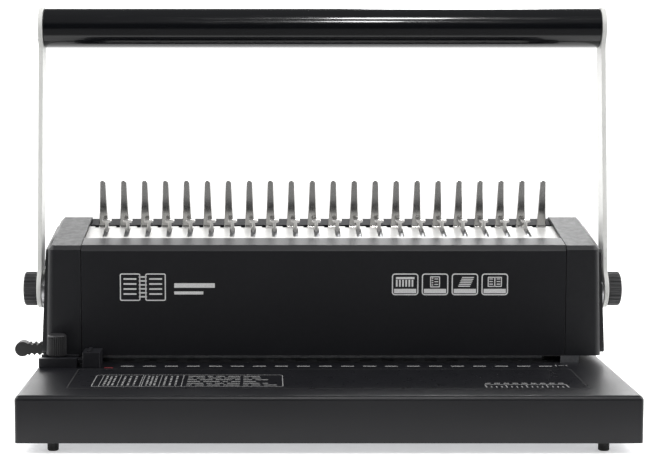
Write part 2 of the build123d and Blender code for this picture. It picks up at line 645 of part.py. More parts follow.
with BuildPart() as opener_gear:
    with BuildSketch(deck_side(GEAR_X)):
        first, step = -90 - 2 * 360 / OPENER_TEETH, 360 / OPENER_TEETH
        rim = OPENER_R - RACK_ROOT
        Circle(rim)
        wedge = [first + teeth * step for teeth in (-0.5, 2, 4, 6.5, 8.5)]
        corners = [(1.3 * rim * cos(radians(a)), 1.3 * rim * sin(radians(a))) for a in wedge]
        Polygon((0, 0), *corners, align=None, mode=Mode.INTERSECT)
        gear_teeth(OPENER_TEETH, first, 9)
        Circle(SLEEVE_R + 2.4)
        with Locations(Rotation(0, 0, TIE_AT)):
            with Locations((TIE_ORBIT / 2, 0)):
                Rectangle(TIE_ORBIT, 2 * LUG_R)
            with Locations((TIE_ORBIT, 0)):
                Circle(LUG_R)
                Circle(TIE_R, mode=Mode.SUBTRACT)
        Circle(SLEEVE_BORE_R, mode=Mode.SUBTRACT)
    extrude(amount=GEAR_T)
    with BuildSketch(shaft_side(GEAR_X + GEAR_T)):
        Circle(SLEEVE_R)
        Circle(SLEEVE_BORE_R, mode=Mode.SUBTRACT)
    extrude(amount=DOG_X - GEAR_X - GEAR_T)
    with BuildSketch(shaft_side(DOG_X)):
        Circle(DOG_HUB_R)
        Circle(SLEEVE_BORE_R, mode=Mode.SUBTRACT)
    extrude(amount=SLEEVE_END - DOG_X)
write_pair(opener_gear.part, "opener_gear")

with BuildPart() as opener_tie_rod:
    with BuildSketch(deck_side(-GEAR_X - GEAR_T)):
        with Locations(Rotation(0, 0, TIE_AT)):
            with Locations((TIE_ORBIT, 0)):
                Circle(TIE_R)
    extrude(amount=2 * (GEAR_X + GEAR_T))
write(opener_tie_rod.part, "opener_tie_rod")

# The dog's open sector lets the stud on the arm run forward but not back.
with BuildPart() as opener_dog:
    with BuildSketch(shaft_side(DOG_X)):
        rest = 90 - HANDLE_LEAN
        half = degrees(asin(STUD_R / PIN_ORBIT)) + 1.0
        Circle(DOG_R)
        notch = [rest - half, rest + 20, rest + 40, rest + PUNCH_SWING + half]
        corners = [(2 * DOG_R * cos(radians(a)), 2 * DOG_R * sin(radians(a))) for a in notch]
        Polygon((0, 0), *corners, align=None, mode=Mode.SUBTRACT)
        Circle(DOG_HUB_R + 1.4)
        Circle(DOG_HUB_R, mode=Mode.SUBTRACT)
    extrude(amount=SLEEVE_END - DOG_X)
write_pair(opener_dog.part, "opener_dog")

# ================================================================ handle
ARM_W, HUB_R, GRIP_END_R = 16.0, 12.8, 14.3
GRIP_SCREW_OFFSETS = (-7.8, 7.8)
GRIP_SCREW_DEPTH, GRIP_SCREW_HEAD_R, GRIP_SCREW_HEAD_H = 8.0, 2.9, 1.5
with BuildPart() as handle_arm:
    with BuildSketch(arm_side(ARM_IN)):
        Circle(HUB_R)
        with Locations((0, ARM_LENGTH)):
            Circle(GRIP_END_R)
        with Locations((0, ARM_LENGTH / 2)):
            Rectangle(ARM_W, ARM_LENGTH)
        fillet([v for v in vertices() if abs(abs(v.X) - ARM_W / 2) < 0.01], radius=10)
        for offset_y in GRIP_SCREW_OFFSETS:
            with Locations((0, ARM_LENGTH + offset_y)):
                Circle(M3_HOLE_R, mode=Mode.SUBTRACT)
    extrude(amount=ARM_T)
    # The bow-tie bore turns the shaft's tongue forward, and lets it be on the way back.
    with BuildSketch(shaft_side(ARM_IN)) as bow_tie:
        for turned in range(-1, 52, 4):
            Rectangle(SHAFT_D + 4, 2 * TONGUE_HALF + 0.1, rotation=turned)
        Circle(SHAFT_D / 2 + 0.05, mode=Mode.INTERSECT)
    extrude(amount=ARM_T, mode=Mode.SUBTRACT)
    with BuildSketch(arm_side(ARM_IN)):
        with Locations((0, PIN_ORBIT)):
            Circle(STUD_R)
    extrude(amount=-(ARM_IN - DOG_X - 0.2))
write_pair(handle_arm.part, "handle_arm")

with BuildPart() as grip_bar:
    with BuildSketch(arm_side(-ARM_IN)):
        with Locations((0, ARM_LENGTH)):
            Circle(GRIP_D / 2)
            Circle(GRIP_BORE / 2, mode=Mode.SUBTRACT)
    extrude(amount=2 * ARM_IN)
write(grip_bar.part, "grip_bar")

PLUG_LENGTH = 12.0
with BuildPart() as grip_plug:
    with BuildSketch(arm_side(ARM_IN)):
        with Locations((0, ARM_LENGTH)):
            Circle(GRIP_BORE / 2)
        for offset_y in GRIP_SCREW_OFFSETS:
            with Locations((0, ARM_LENGTH + offset_y)):
                Circle(M3_R, mode=Mode.SUBTRACT)
    extrude(amount=-PLUG_LENGTH)
write_pair(grip_plug.part, "grip_plug")

with BuildPart() as grip_screws:
    for sign in (-1, 1):
        for offset_y in GRIP_SCREW_OFFSETS:
            with BuildSketch(arm_side(sign * (ARM_IN - GRIP_SCREW_DEPTH))):
                with Locations((0, ARM_LENGTH + offset_y)):
                    Circle(M3_R)
            extrude(amount=sign * (GRIP_SCREW_DEPTH + ARM_T))
            with BuildSketch(arm_side(sign * (ARM_IN + ARM_T))):
                with Locations((0, ARM_LENGTH + offset_y)):
                    Circle(GRIP_SCREW_HEAD_R)
            extrude(amount=sign * GRIP_SCREW_HEAD_H)
write(grip_screws.part, "grip_screws")

KNOB_X, KNOB_R, KNOB_T, FLUTES = ARM_IN + ARM_T + 0.3, 11.35, 9.0, 24
with BuildPart() as pivot_knob:
    with BuildSketch(shaft_side(KNOB_X)):
        Circle(KNOB_R)
        with PolarLocations(KNOB_R + 0.3, FLUTES):
            Circle(0.9, mode=Mode.SUBTRACT)
    extrude(amount=KNOB_T)
    with BuildSketch(shaft_side(KNOB_X)):
        Circle(TONGUE_HALF + 0.05)
    extrude(amount=STUB + 0.1, mode=Mode.SUBTRACT)
write_pair(pivot_knob.part, "pivot_knob")

# ================================================================ covers
SEAM = SEAM_X - GAP / 2
STRIP_BACK_Y = 16.5
BEVEL = 3.0
with BuildPart() as front_cover:
    with BuildSketch(side(-SEAM)):
        with BuildLine():
            outer = [
                (FRONT_Y, FRONT_BOTTOM),
                (FRONT_Y, FRONT_TOP - BEVEL),
                (FRONT_Y + BEVEL, top_z(FRONT_Y + BEVEL)),
                (STRIP_BACK_Y, top_z(STRIP_BACK_Y)),
                (STRIP_BACK_Y, top_z(STRIP_BACK_Y) - DECK_DROP + 0.2),
            ]
            Polyline(*outer)
            lip_z = outer[-1][1]
            Polyline(
                outer[-1],
                (STRIP_BACK_Y - SHEET, lip_z),
                (STRIP_BACK_Y - SHEET, top_z(STRIP_BACK_Y - SHEET) - SHEET / C),
                (FRONT_Y + BEVEL + 0.5, top_z(FRONT_Y + BEVEL + 0.5) - SHEET / C),
                (FRONT_Y + SHEET, FRONT_TOP - BEVEL - 0.4),
                (FRONT_Y + SHEET, FRONT_BOTTOM),
                outer[0],
            )
        make_face()
    extrude(amount=2 * SEAM)
write(front_cover.part, "front_cover")

REAR_R = 6.0
REAR_FRONT_Y = ROOT_Y + FINGER_T + 1.2
REAR_DROP = DECK_DROP - 0.5
with BuildPart() as rear_cover:
    with BuildSketch(side(-SEAM)):
        with BuildLine():
            FilletPolyline(
                (REAR_FRONT_Y, top_z(REAR_FRONT_Y) - REAR_DROP),
                (REAR_Y, top_z(REAR_Y) - REAR_DROP),
                (REAR_Y, BASE_TOP + 0.2),
                radius=REAR_R,
            )
            offset(amount=SHEET, side=Side.RIGHT)
        make_face()
    extrude(amount=2 * SEAM)
    with BuildSketch(Plane.XZ.offset(-REAR_Y)):
        for x in (-BACK_SCREW_X, BACK_SCREW_X):
            for z in BACK_SCREW_ZS:
                with Locations((x, z)):
                    Circle(1.5)
    extrude(amount=5, both=True, mode=Mode.SUBTRACT)
write(rear_cover.part, "rear_cover")

CAP_END = 190.0  # before the side is cut to its flare
FLARE_HEIGHT = FRONT_TOP - FRONT_BOTTOM
FLARE = Plane(
    (CAP_BOTTOM_X, 0, FRONT_BOTTOM),
    x_dir=(0, 1, 0),
    z_dir=(FLARE_HEIGHT, 0, CAP_BOTTOM_X - CAP_TOP_X),
)
PANEL_FACE = Plane(
    (PANEL_BOTTOM_X, 0, FRONT_BOTTOM),
    x_dir=(0, 1, 0),
    z_dir=(FLARE_HEIGHT, 0, PANEL_BOTTOM_X - PANEL_TOP_X),
)
CAP_REAR_R, CAP_FRONT_R = 11.0, 4.5
PANEL_CORNERS = [(1.0, 1.2), (1.0, 69.0), (60.0, 69.0 + 59.0 * SLOPE), (76.0, 66.0), (76.0, 1.2)]
PANEL_SCREWS = [(8.0, 60.0), (69.0, 70.0), (69.0, 9.0)]  # along Y, and up the panel
PANEL_SCREW_HEAD_R, PANEL_SCREW_HEAD_H = 2.6, 1.0
PANEL_SCREW_R, PANEL_SCREW_DEPTH = 1.35, 9.5
NUT_R, NUT_T = 2.8, 2.4
SLEEVE_HOLE_R = SLEEVE_R + 0.8
LEVER_SLOT = (5.0, 23.0, FRONT_BOTTOM - 3, 53.0)


def cap_block(inset):
    """The outside of the right end cap, or with an inset its hollow, open below and inward."""
    front, back = FRONT_Y + inset, REAR_Y - inset
    drop = inset / C
    with BuildPart() as block:
        with BuildSketch(side(SEAM_X + GAP / 2 - inset)):
            Polygon(
                (front, FRONT_BOTTOM - inset),
                (front, top_z(front) - drop),
                (back, top_z(back) - drop),
                (back, FRONT_BOTTOM - inset),
                align=None,
            )
        extrude(amount=CAP_END - SEAM_X + inset)
        split(bisect_by=FLARE.offset(-inset), keep=Keep.BOTTOM)
        along = block.edges().filter_by(Axis.X)
        fillet(along.sort_by(Axis.Z)[-1], radius=CAP_REAR_R - inset)
        upright = [e for e in block.edges() if e.length > 60 and abs(e.tangent_at(0.5).Z) > 0.9]
        front_corner = ShapeList(upright).sort_by(Axis.X)[-2:].sort_by(Axis.Y)[0]
        fillet(front_corner, radius=CAP_FRONT_R - inset)
        if inset == 0:
            top_front = [e for e in block.edges().filter_by(Axis.X) if abs(e.center().Z - FRONT_TOP) < 0.5]
            chamfer(top_front, length=BEVEL - 0.6)
    return block.part


cap_outside, cap_hollow = cap_block(0), cap_block(CAP_WALL)


def cap_part(sign):
    with BuildPart() as cap:
        add(cap_outside if sign > 0 else mirror(cap_outside, about=Plane.YZ))
        add(cap_hollow if sign > 0 else mirror(cap_hollow, about=Plane.YZ), mode=Mode.SUBTRACT)
        with BuildSketch(side(sign * 172)):
            with Locations((SHAFT_Y, SHAFT_Z)):
                Circle(SLEEVE_HOLE_R)
            if sign < 0:
                y0, y1, z0, z1 = LEVER_SLOT
                Polygon((y0, z0), (y1, z0), (y1, z1), (y0, z1), align=None)
        extrude(amount=sign * 20, mode=Mode.SUBTRACT)
    return cap.part


def panel_drill(radius, inward, outward=0.0):
    """Round bars on the right panel's screw places, from its face inward and outward."""
    with BuildPart() as bars:
        with BuildSketch(PANEL_FACE.offset(outward)):
            for place in PANEL_SCREWS:
                with Locations(place):
                    Circle(radius)
        extrude(amount=-inward - outward)
    return bars.part


def panel_part(sign):
    """The wedge-shaped plate on the end cap's side, built on the right and mirrored for the left."""
    with BuildPart() as panel:
        with BuildSketch(FLARE) as outline:
            Polygon(*PANEL_CORNERS, align=None)
            fillet(outline.vertices(), radius=3)
        extrude(amount=2 * (PANEL_BOTTOM_X - CAP_BOTTOM_X))
        split(bisect_by=PANEL_FACE, keep=Keep.BOTTOM)
        add(panel_drill(PANEL_SCREW_R + 0.05, 8, 1), mode=Mode.SUBTRACT)
        with BuildSketch(side(CAP_TOP_X - 8)):
            with Locations((SHAFT_Y, SHAFT_Z)):
                Circle(SLEEVE_HOLE_R)
            if sign < 0:
                y0, y1, z0, z1 = LEVER_SLOT
                Polygon((y0, z0), (y1, z0), (y1, z1), (y0, z1), align=None)
        extrude(amount=20, mode=Mode.SUBTRACT)
    return panel.part if sign > 0 else mirror(panel.part, about=Plane.YZ)


for sign, name in ((1, "right"), (-1, "left")):
    holes = panel_drill(PANEL_SCREW_R + 0.05, 8, 1)
    with BuildPart() as end_cap:
        add(cap_part(sign))
        add(holes if sign > 0 else mirror(holes, about=Plane.YZ), mode=Mode.SUBTRACT)
    write(end_cap.part, f"end_cap_{name}")
    write(panel_part(sign), f"side_panel_{name}")

# Each screw of the side panels has a nut inside the cap.
with BuildPart() as panel_screw:
    add(panel_drill(PANEL_SCREW_R, PANEL_SCREW_DEPTH))
    add(panel_drill(PANEL_SCREW_HEAD_R, 0, PANEL_SCREW_HEAD_H))
    with BuildSketch(FLARE.offset(-CAP_WALL)):
        for place in PANEL_SCREWS:
            with Locations(place):
                RegularPolygon(NUT_R, 6)
    extrude(amount=-NUT_T)
with BuildPart() as panel_screws:
    add(panel_screw.part)
    add(mirror(panel_screw.part, about=Plane.YZ))
write(panel_screws.part, "panel_screws")

with BuildPart() as rear_screws:
    for x in (-BACK_SCREW_X, BACK_SCREW_X):
        for z in BACK_SCREW_ZS:
            with BuildSketch(Plane.XZ.offset(-FRAME_BACK_Y + 3)):
                with Locations((x, z)):
                    Circle(1.3)
            extrude(amount=-(REAR_Y - FRAME_BACK_Y + 3))
            with BuildSketch(Plane.XZ.offset(-REAR_Y)):
                with Locations((x, z)):
                    Circle(2.6)
            extrude(amount=-1.4)
write(rear_screws.part, "rear_screws")

# ================================================================ margin gauge, behind the throat
GAUGE_FRONT_Y, GAUGE_D = 12.0, 18.0
GAUGE_Z, GAUGE_T = BASE_TOP + 0.4, 2.2
SHANK_Z, SHANK_T = 46.6, 2.6  # the strip that runs out through the left frame's window
POST_X, POST_Y = -151.5, 27.0
with BuildPart() as back_gauge:
    with BuildSketch(Plane.XY.offset(GAUGE_Z)):
        with Locations((-4, GAUGE_FRONT_Y + GAUGE_D / 2)):
            Rectangle(300, GAUGE_D)
    extrude(amount=GAUGE_T)
    with BuildSketch(Plane.XY.offset(GAUGE_Z)):
        with Locations((POST_X, POST_Y)):
            Rectangle(5, 6)
    extrude(amount=SHANK_Z + SHANK_T - GAUGE_Z)
    with BuildSketch(Plane.XY.offset(SHANK_Z)):
        with Locations((-159, 19)):
            Rectangle(10, 22)
        with Locations((POST_X - 2.5, POST_Y)):
            Rectangle(6, 6)
    extrude(amount=SHANK_T)
write(back_gauge.part, "back_gauge")

LEVER_Y, LEVER_T, LEVER_Z, LEVER_W = 14.0, 9.0, 42.0, 7.4
LEVER_XS = (-199.0, -180.5)  # the straight part of the grip
LEVER_END_X, LEVER_END_R = -199.3, 5.0
SHANK_XS = (-184.2, -164.0)
WAVES, WAVE_X, WAVE_PITCH, WAVE_R, WAVE_OFFSET = 4, -186.2, 3.5, 2.3, 3.3
with BuildPart() as margin_lever:
    with BuildSketch(Plane.XZ.offset(-(LEVER_Y - LEVER_T / 2))):
        with Locations((sum(LEVER_XS) / 2, LEVER_Z)):
            Rectangle(LEVER_XS[1] - LEVER_XS[0], LEVER_W)
        for wave in range(WAVES):
            with Locations((WAVE_X - wave * WAVE_PITCH, LEVER_Z)):
                with GridLocations(1, 2 * WAVE_OFFSET, 1, 2):
                    Circle(WAVE_R)
        with Locations((LEVER_END_X, LEVER_Z)):
            Circle(LEVER_END_R)
        # The web that joins the grip to the strip above it.
        web_bottom, web_top = LEVER_Z - LEVER_W / 2, SHANK_Z + SHANK_T
        with Locations(((SHANK_XS[0] + LEVER_XS[1]) / 2, (web_bottom + web_top) / 2)):
            Rectangle(LEVER_XS[1] - SHANK_XS[0], web_top - web_bottom)
    extrude(amount=-LEVER_T)
    with BuildSketch(Plane.XY.offset(SHANK_Z)):
        with Locations((sum(SHANK_XS) / 2, LEVER_Y)):
            Rectangle(SHANK_XS[1] - SHANK_XS[0], LEVER_T - 1)
    extrude(amount=SHANK_T)
write(margin_lever.part, "margin_lever")

# ================================================================ edge guide, left front
GUIDE_BACK_Y = FRONT_Y - 0.7
RAIL_X, RAIL_W, RAIL_TOP = (-184.3, -159.6), 17.2, 41.1
TROUGH_W, TROUGH_Z = 9.0, BASE_TOP + 2
KNOB_PLACE = (-173.4, -11.6)
EDGE_KNOB_R, EDGE_KNOB_H, EDGE_FLUTES = 6.1, 14.0, 28
EDGE_STUD_R = 2.0
with BuildPart() as guide_rail:
    with BuildSketch(Plane.XY.offset(BASE_TOP)):
        with Locations((sum(RAIL_X) / 2, GUIDE_BACK_Y - RAIL_W / 2)):
            Rectangle(RAIL_X[1] - RAIL_X[0], RAIL_W)
    extrude(amount=RAIL_TOP - BASE_TOP)
    fillet(guide_rail.edges().filter_by(Axis.Z), radius=0.8)
    with BuildSketch(Plane.XY.offset(TROUGH_Z)):
        with Locations((sum(RAIL_X) / 2, KNOB_PLACE[1])):
            Rectangle(40, TROUGH_W)
    extrude(amount=RAIL_TOP - BASE_TOP, mode=Mode.SUBTRACT)
    with BuildSketch(Plane.XY.offset(TROUGH_Z)):
        with Locations(KNOB_PLACE):
            Circle(EDGE_STUD_R)
    extrude(amount=EDGE_KNOB_H)
write(guide_rail.part, "guide_rail")

STOP_X, STOP_W, STOP_TOP = (-156.0, -144.5), 18.0, 45.0
TONGUE_XS = (-182.4, -154.0)
with BuildPart() as edge_stop:
    with BuildSketch(Plane.XY.offset(BASE_TOP + 0.3)):
        with Locations((sum(STOP_X) / 2, GUIDE_BACK_Y - STOP_W / 2)):
            Rectangle(STOP_X[1] - STOP_X[0], STOP_W)
    extrude(amount=STOP_TOP - BASE_TOP - 0.3)
    fillet(edge_stop.edges().filter_by(Axis.Z), radius=1.0)
    with BuildSketch(Plane.XY.offset(STOP_TOP)):
        with Locations((STOP_X[0] + 4, GUIDE_BACK_Y - STOP_W / 2)):
            Rectangle(2.2, 15)
    extrude(amount=0.9)
    # The tongue in the rail's trough, with a slot round the knob's stud.
    with BuildSketch(Plane.XY.offset(TROUGH_Z + 0.3)):
        with Locations((sum(TONGUE_XS) / 2, KNOB_PLACE[1])):
            Rectangle(TONGUE_XS[1] - TONGUE_XS[0], TROUGH_W - 0.6)
        with Locations((KNOB_PLACE[0] - 1, KNOB_PLACE[1])):
            SlotOverall(13, 2 * EDGE_STUD_R + 0.6, mode=Mode.SUBTRACT)
    extrude(amount=2.4)
write(edge_stop.part, "edge_stop")

with BuildPart() as edge_knob:
    with BuildSketch(Plane.XY.offset(RAIL_TOP + 0.3)):
        with Locations(KNOB_PLACE):
            Circle(EDGE_KNOB_R)
            with PolarLocations(EDGE_KNOB_R + 0.25, EDGE_FLUTES):
                Circle(0.55, mode=Mode.SUBTRACT)
    extrude(amount=EDGE_KNOB_H)
    with BuildSketch(Plane.XY.offset(RAIL_TOP + 0.3)):
        with Locations(KNOB_PLACE):
            Circle(EDGE_STUD_R + 0.05)
    extrude(amount=EDGE_KNOB_H - 3.5, mode=Mode.SUBTRACT)
write(edge_knob.part, "edge_knob")
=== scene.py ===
"""Looks of the comb binding machine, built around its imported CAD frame.

Shapes are written in millimetres, as in the CAD: +X to the operator's right, +Y to the back, +Z up,
from the table under the middle of the base. piece() scales them to metres as it makes the mesh.
"""

from math import cos, pi, radians, sin, sqrt, tan

import bmesh
import bpy
from mathutils import Matrix, Vector


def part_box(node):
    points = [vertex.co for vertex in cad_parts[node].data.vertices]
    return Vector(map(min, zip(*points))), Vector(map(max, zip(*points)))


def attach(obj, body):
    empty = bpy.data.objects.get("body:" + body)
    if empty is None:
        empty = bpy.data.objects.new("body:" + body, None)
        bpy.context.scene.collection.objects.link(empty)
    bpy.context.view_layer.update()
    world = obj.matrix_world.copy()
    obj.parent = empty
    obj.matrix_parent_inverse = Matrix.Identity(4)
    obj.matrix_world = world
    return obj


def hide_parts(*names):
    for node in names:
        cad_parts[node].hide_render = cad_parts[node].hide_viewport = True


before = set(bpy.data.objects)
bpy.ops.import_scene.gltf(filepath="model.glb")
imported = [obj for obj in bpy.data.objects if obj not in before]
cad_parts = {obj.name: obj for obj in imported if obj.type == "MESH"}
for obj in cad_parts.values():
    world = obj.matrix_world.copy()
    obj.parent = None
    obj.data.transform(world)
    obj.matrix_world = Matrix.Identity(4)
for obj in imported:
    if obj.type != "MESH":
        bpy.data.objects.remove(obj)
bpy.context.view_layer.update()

scene = bpy.context.scene
MM = 0.001


def box(node):
    """Lowest and highest corner of a CAD node at rest, in millimetres."""
    low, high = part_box(node)
    return low / MM, high / MM


# ---------------------------------------------------------------- places taken from the frame
SLOPE = radians(10)  # of the deck, rising to the back
C, S = cos(SLOPE), sin(SLOPE)
HOLE_PITCH, HOLES = 14.2875, 21  # the standard pitch of plastic combs
FINGER_H, FINGER_T, FINGER_ROOT_W, FINGER_TIP_W = 32.6, 1.6, 6.3, 3.8
COMB_SHIFT = 1.0  # the fingers stand this far to the right of the middle
DECK_T = 1.5

finger_low, finger_high = box("finger_bar")
ROOT_Y = finger_low.y + FINGER_H * S
ROOT_Z = finger_high.z - FINGER_H * C - FINGER_T * S
BASE_TOP = box("base_housing")[1].z
FRONT_Y = box("front_cover")[0].y
REAR_Y = box("rear_cover")[1].y
FINGER_XS = [COMB_SHIFT + (i - HOLES / 2) * HOLE_PITCH for i in range(HOLES + 1)]
PIN_XS = [(i - (HOLES - 1) / 2) * HOLE_PITCH for i in range(HOLES)]

shaft_low, shaft_high = box("main_shaft")
SHAFT = Vector((0, (shaft_low.y + shaft_high.y) / 2, (shaft_low.z + shaft_high.z) / 2))
LEAN = radians(8)  # of the arms at rest, to the back
ARM_LENGTH, ARM_IN, ARM_T = 175.7, 187.0, 3.0
GRIP_R, GRIP_BORE_R = 13.3, 12.0


def frame_at(origin, x_dir, z_dir):
    """The matrix of a plane with that origin, x axis and normal."""
    x, z = Vector(x_dir).normalized(), Vector(z_dir).normalized()
    turn = Matrix((x, z.cross(x), z)).transposed().to_4x4()
    return Matrix.Translation(origin) @ turn


def facing_front(x=0.0, y=0.0, z=0.0):
    """An upright plane that faces the front: its own x runs to the right and its own y up."""
    return frame_at((x, y, z), (1, 0, 0), (0, -1, 0))


def arm_side(x, along=0.0):
    """Across the machine at x, with its y axis along the handle's arms, from the shaft's axis."""
    up = Vector((0, sin(LEAN), cos(LEAN)))
    return frame_at(SHAFT + Vector((x, 0, 0)) + along * up, (0, cos(LEAN), -sin(LEAN)), (1, 0, 0))


DECK = frame_at((0, ROOT_Y, ROOT_Z), (1, 0, 0), (0, -S, C))
MIRROR = Matrix.Scale(-1, 4, (1, 0, 0))


# ---------------------------------------------------------------- mesh helpers, in millimetres
SHARP_ANGLE = 32  # degrees: edges that turn more than this are rounded, and shaded as edges
FLAT_ANGLE = 0.5  # degrees: faces that turn less than this are one face
FINE_WELD, WELD = 1e-4, 1e-3  # points nearer to each other than this are one point
FLUTE_POWER = 1.6  # above 1, so that flutes are narrower than the ridges between them


def arc(x, y, r, start, end, steps=8):
    """Points on an arc, with its angles in degrees."""
    angles = [radians(start + (end - start) * i / steps) for i in range(steps + 1)]
    return [(x + r * cos(a), y + r * sin(a)) for a in angles]


def circle(x, y, r, steps=32):
    return arc(x, y, r, 0, 360, steps)[:-1]


def rounded(corners, radius, steps=4):
    """A closed outline with its corners rounded. radius is one number, or one for each corner."""
    ring = []
    count = len(corners)
    radii = radius if isinstance(radius, (list, tuple)) else [radius] * count
    for i, corner in enumerate(corners):
        here = Vector(corner)
        before = (Vector(corners[i - 1]) - here).normalized()
        after = (Vector(corners[(i + 1) % count]) - here).normalized()
        half = before.angle(after) / 2
        r = radii[i]
        reach = r / tan(half)
        middle = here + (before + after).normalized() * r / sin(half)
        first, last = here + before * reach - middle, here + after * reach - middle
        sweep = first.angle_signed(last) if r > 0 else 0
        for k in range(steps + 1 if r > 0 else 1):
            turned = first.copy()
            turned.rotate(Matrix.Rotation(-sweep * k / steps, 2))
            ring.append(tuple(middle + turned))
    return ring


def rectangle(x0, y0, x1, y1, radius=0.0):
    return rounded([(x0, y0), (x1, y0), (x1, y1), (x0, y1)], radius)


def plate(rings, place, thickness, bevel=0.0, steps=2):
    """A flat plate from z = 0 to thickness in place. The first ring is its outline, the rest holes."""
    curve = bpy.data.curves.new("outline", "CURVE")
    curve.dimensions, curve.fill_mode = "2D", "BOTH"
    curve.extrude, curve.bevel_depth = thickness / 2 - bevel, bevel
    curve.bevel_resolution, curve.offset = steps - 1, -bevel
    for ring in rings:
        spline = curve.splines.new("POLY")
        spline.points.add(len(ring) - 1)
        for point, (x, y) in zip(spline.points, ring):
            point.co = (x, y, 0, 1)
        spline.use_cyclic_u = True
    holder = bpy.data.objects.new("outline", curve)
    scene.collection.objects.link(holder)
    mesh = bpy.data.meshes.new_from_object(holder.evaluated_get(bpy.context.evaluated_depsgraph_get()))
    bpy.data.objects.remove(holder)
    bpy.data.curves.remove(curve)
    shape = bmesh.new()
    shape.from_mesh(mesh)
    bpy.data.meshes.remove(mesh)
    bmesh.ops.remove_doubles(shape, verts=shape.verts, dist=FINE_WELD)
    shape.transform(place @ Matrix.Translation((0, 0, thickness / 2)))
    return shape


def skin(rings, closed_ends=True, closed_path=False):
    """A surface through rings of the same number of points, each a list of Vectors."""
    shape = bmesh.new()
    rows = [[shape.verts.new(p) for p in ring] for ring in rings]
    count = len(rows[0])
    pairs = list(zip(rows, rows[1:])) + ([(rows[-1], rows[0])] if closed_path else [])
    for row, after in pairs:
        for i in range(count):
            shape.faces.new((row[i], row[(i + 1) % count], after[(i + 1) % count], after[i]))
    if closed_ends and not closed_path:
        shape.faces.new(reversed(rows[0]))
        shape.faces.new(rows[-1])
    return shape


def lathe(profile, place, steps=48, flutes=0, depth=0.0):
    """A turned shape about place's z axis. Each profile point is (radius, z) or (radius, z, share),
    where share says how much of the flutes' depth shows there. A profile that leaves the axis is
    closed on itself."""
    solid = profile[0][0] < 1e-6
    rings = []
    for point in profile:
        share = point[2] if len(point) > 2 else 0.0
        ring = []
        for i in range(steps):
            a = 2 * pi * i / steps
            groove = depth * share * (0.5 + 0.5 * cos(flutes * a)) ** FLUTE_POWER
            r = max(point[0] - groove, 1e-5)
            ring.append(Vector((r * cos(a), r * sin(a), point[1])))
        rings.append(ring)
    shape = skin(rings, closed_ends=False, closed_path=not solid)
    bmesh.ops.remove_doubles(shape, verts=shape.verts, dist=WELD)
    shape.transform(place)
    return shape


def softened(node, width):
    """A copy of a CAD node's mesh with its sharp edges slightly rounded."""
    shape = bmesh.new()
    shape.from_mesh(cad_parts[node].data)
    shape.transform(Matrix.Scale(1 / MM, 4))
    bmesh.ops.remove_doubles(shape, verts=shape.verts, dist=WELD)
    bmesh.ops.dissolve_limit(
        shape, angle_limit=radians(FLAT_ANGLE), verts=shape.verts, edges=shape.edges, delimit={"NORMAL"}
    )
    sharp = radians(SHARP_ANGLE)
    edges = [e for e in shape.edges if len(e.link_faces) == 2 and e.calc_face_angle(0) > sharp]
    bmesh.ops.bevel(
        shape, geom=edges, offset=width, offset_type="OFFSET", segments=2, profile=0.5,
        affect="EDGES", clamp_overlap=True,
    )
    return shape


def mirrored(shape):
    """A mirror image in the plane x = 0, beside the original."""
    other = shape.copy()
    other.transform(MIRROR)
    bmesh.ops.reverse_faces(other, faces=other.faces)
    return other


def piece(name, parts, material, body, replaces=(), smooth=SHARP_ANGLE):
    """Joins the parts into one object that rides on body. It frees the parts."""
    mesh = bpy.data.meshes.new(name)
    whole = bmesh.new()
    for part in parts:
        part.to_mesh(mesh)
        whole.from_mesh(mesh)
        part.free()
    whole.transform(Matrix.Scale(MM, 4))
    bmesh.ops.recalc_face_normals(whole, faces=whole.faces)
    whole.to_mesh(mesh)
    whole.free()
    mesh.shade_smooth()
    mesh.set_sharp_from_angle(angle=radians(smooth))
    mesh.materials.append(material)
    thing = bpy.data.objects.new(name, mesh)
    scene.collection.objects.link(thing)
    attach(thing, body)
    if replaces:
        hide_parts(*replaces)
    thing.modifiers.new("even_shading", "WEIGHTED_NORMAL").keep_sharp = True
    return thing


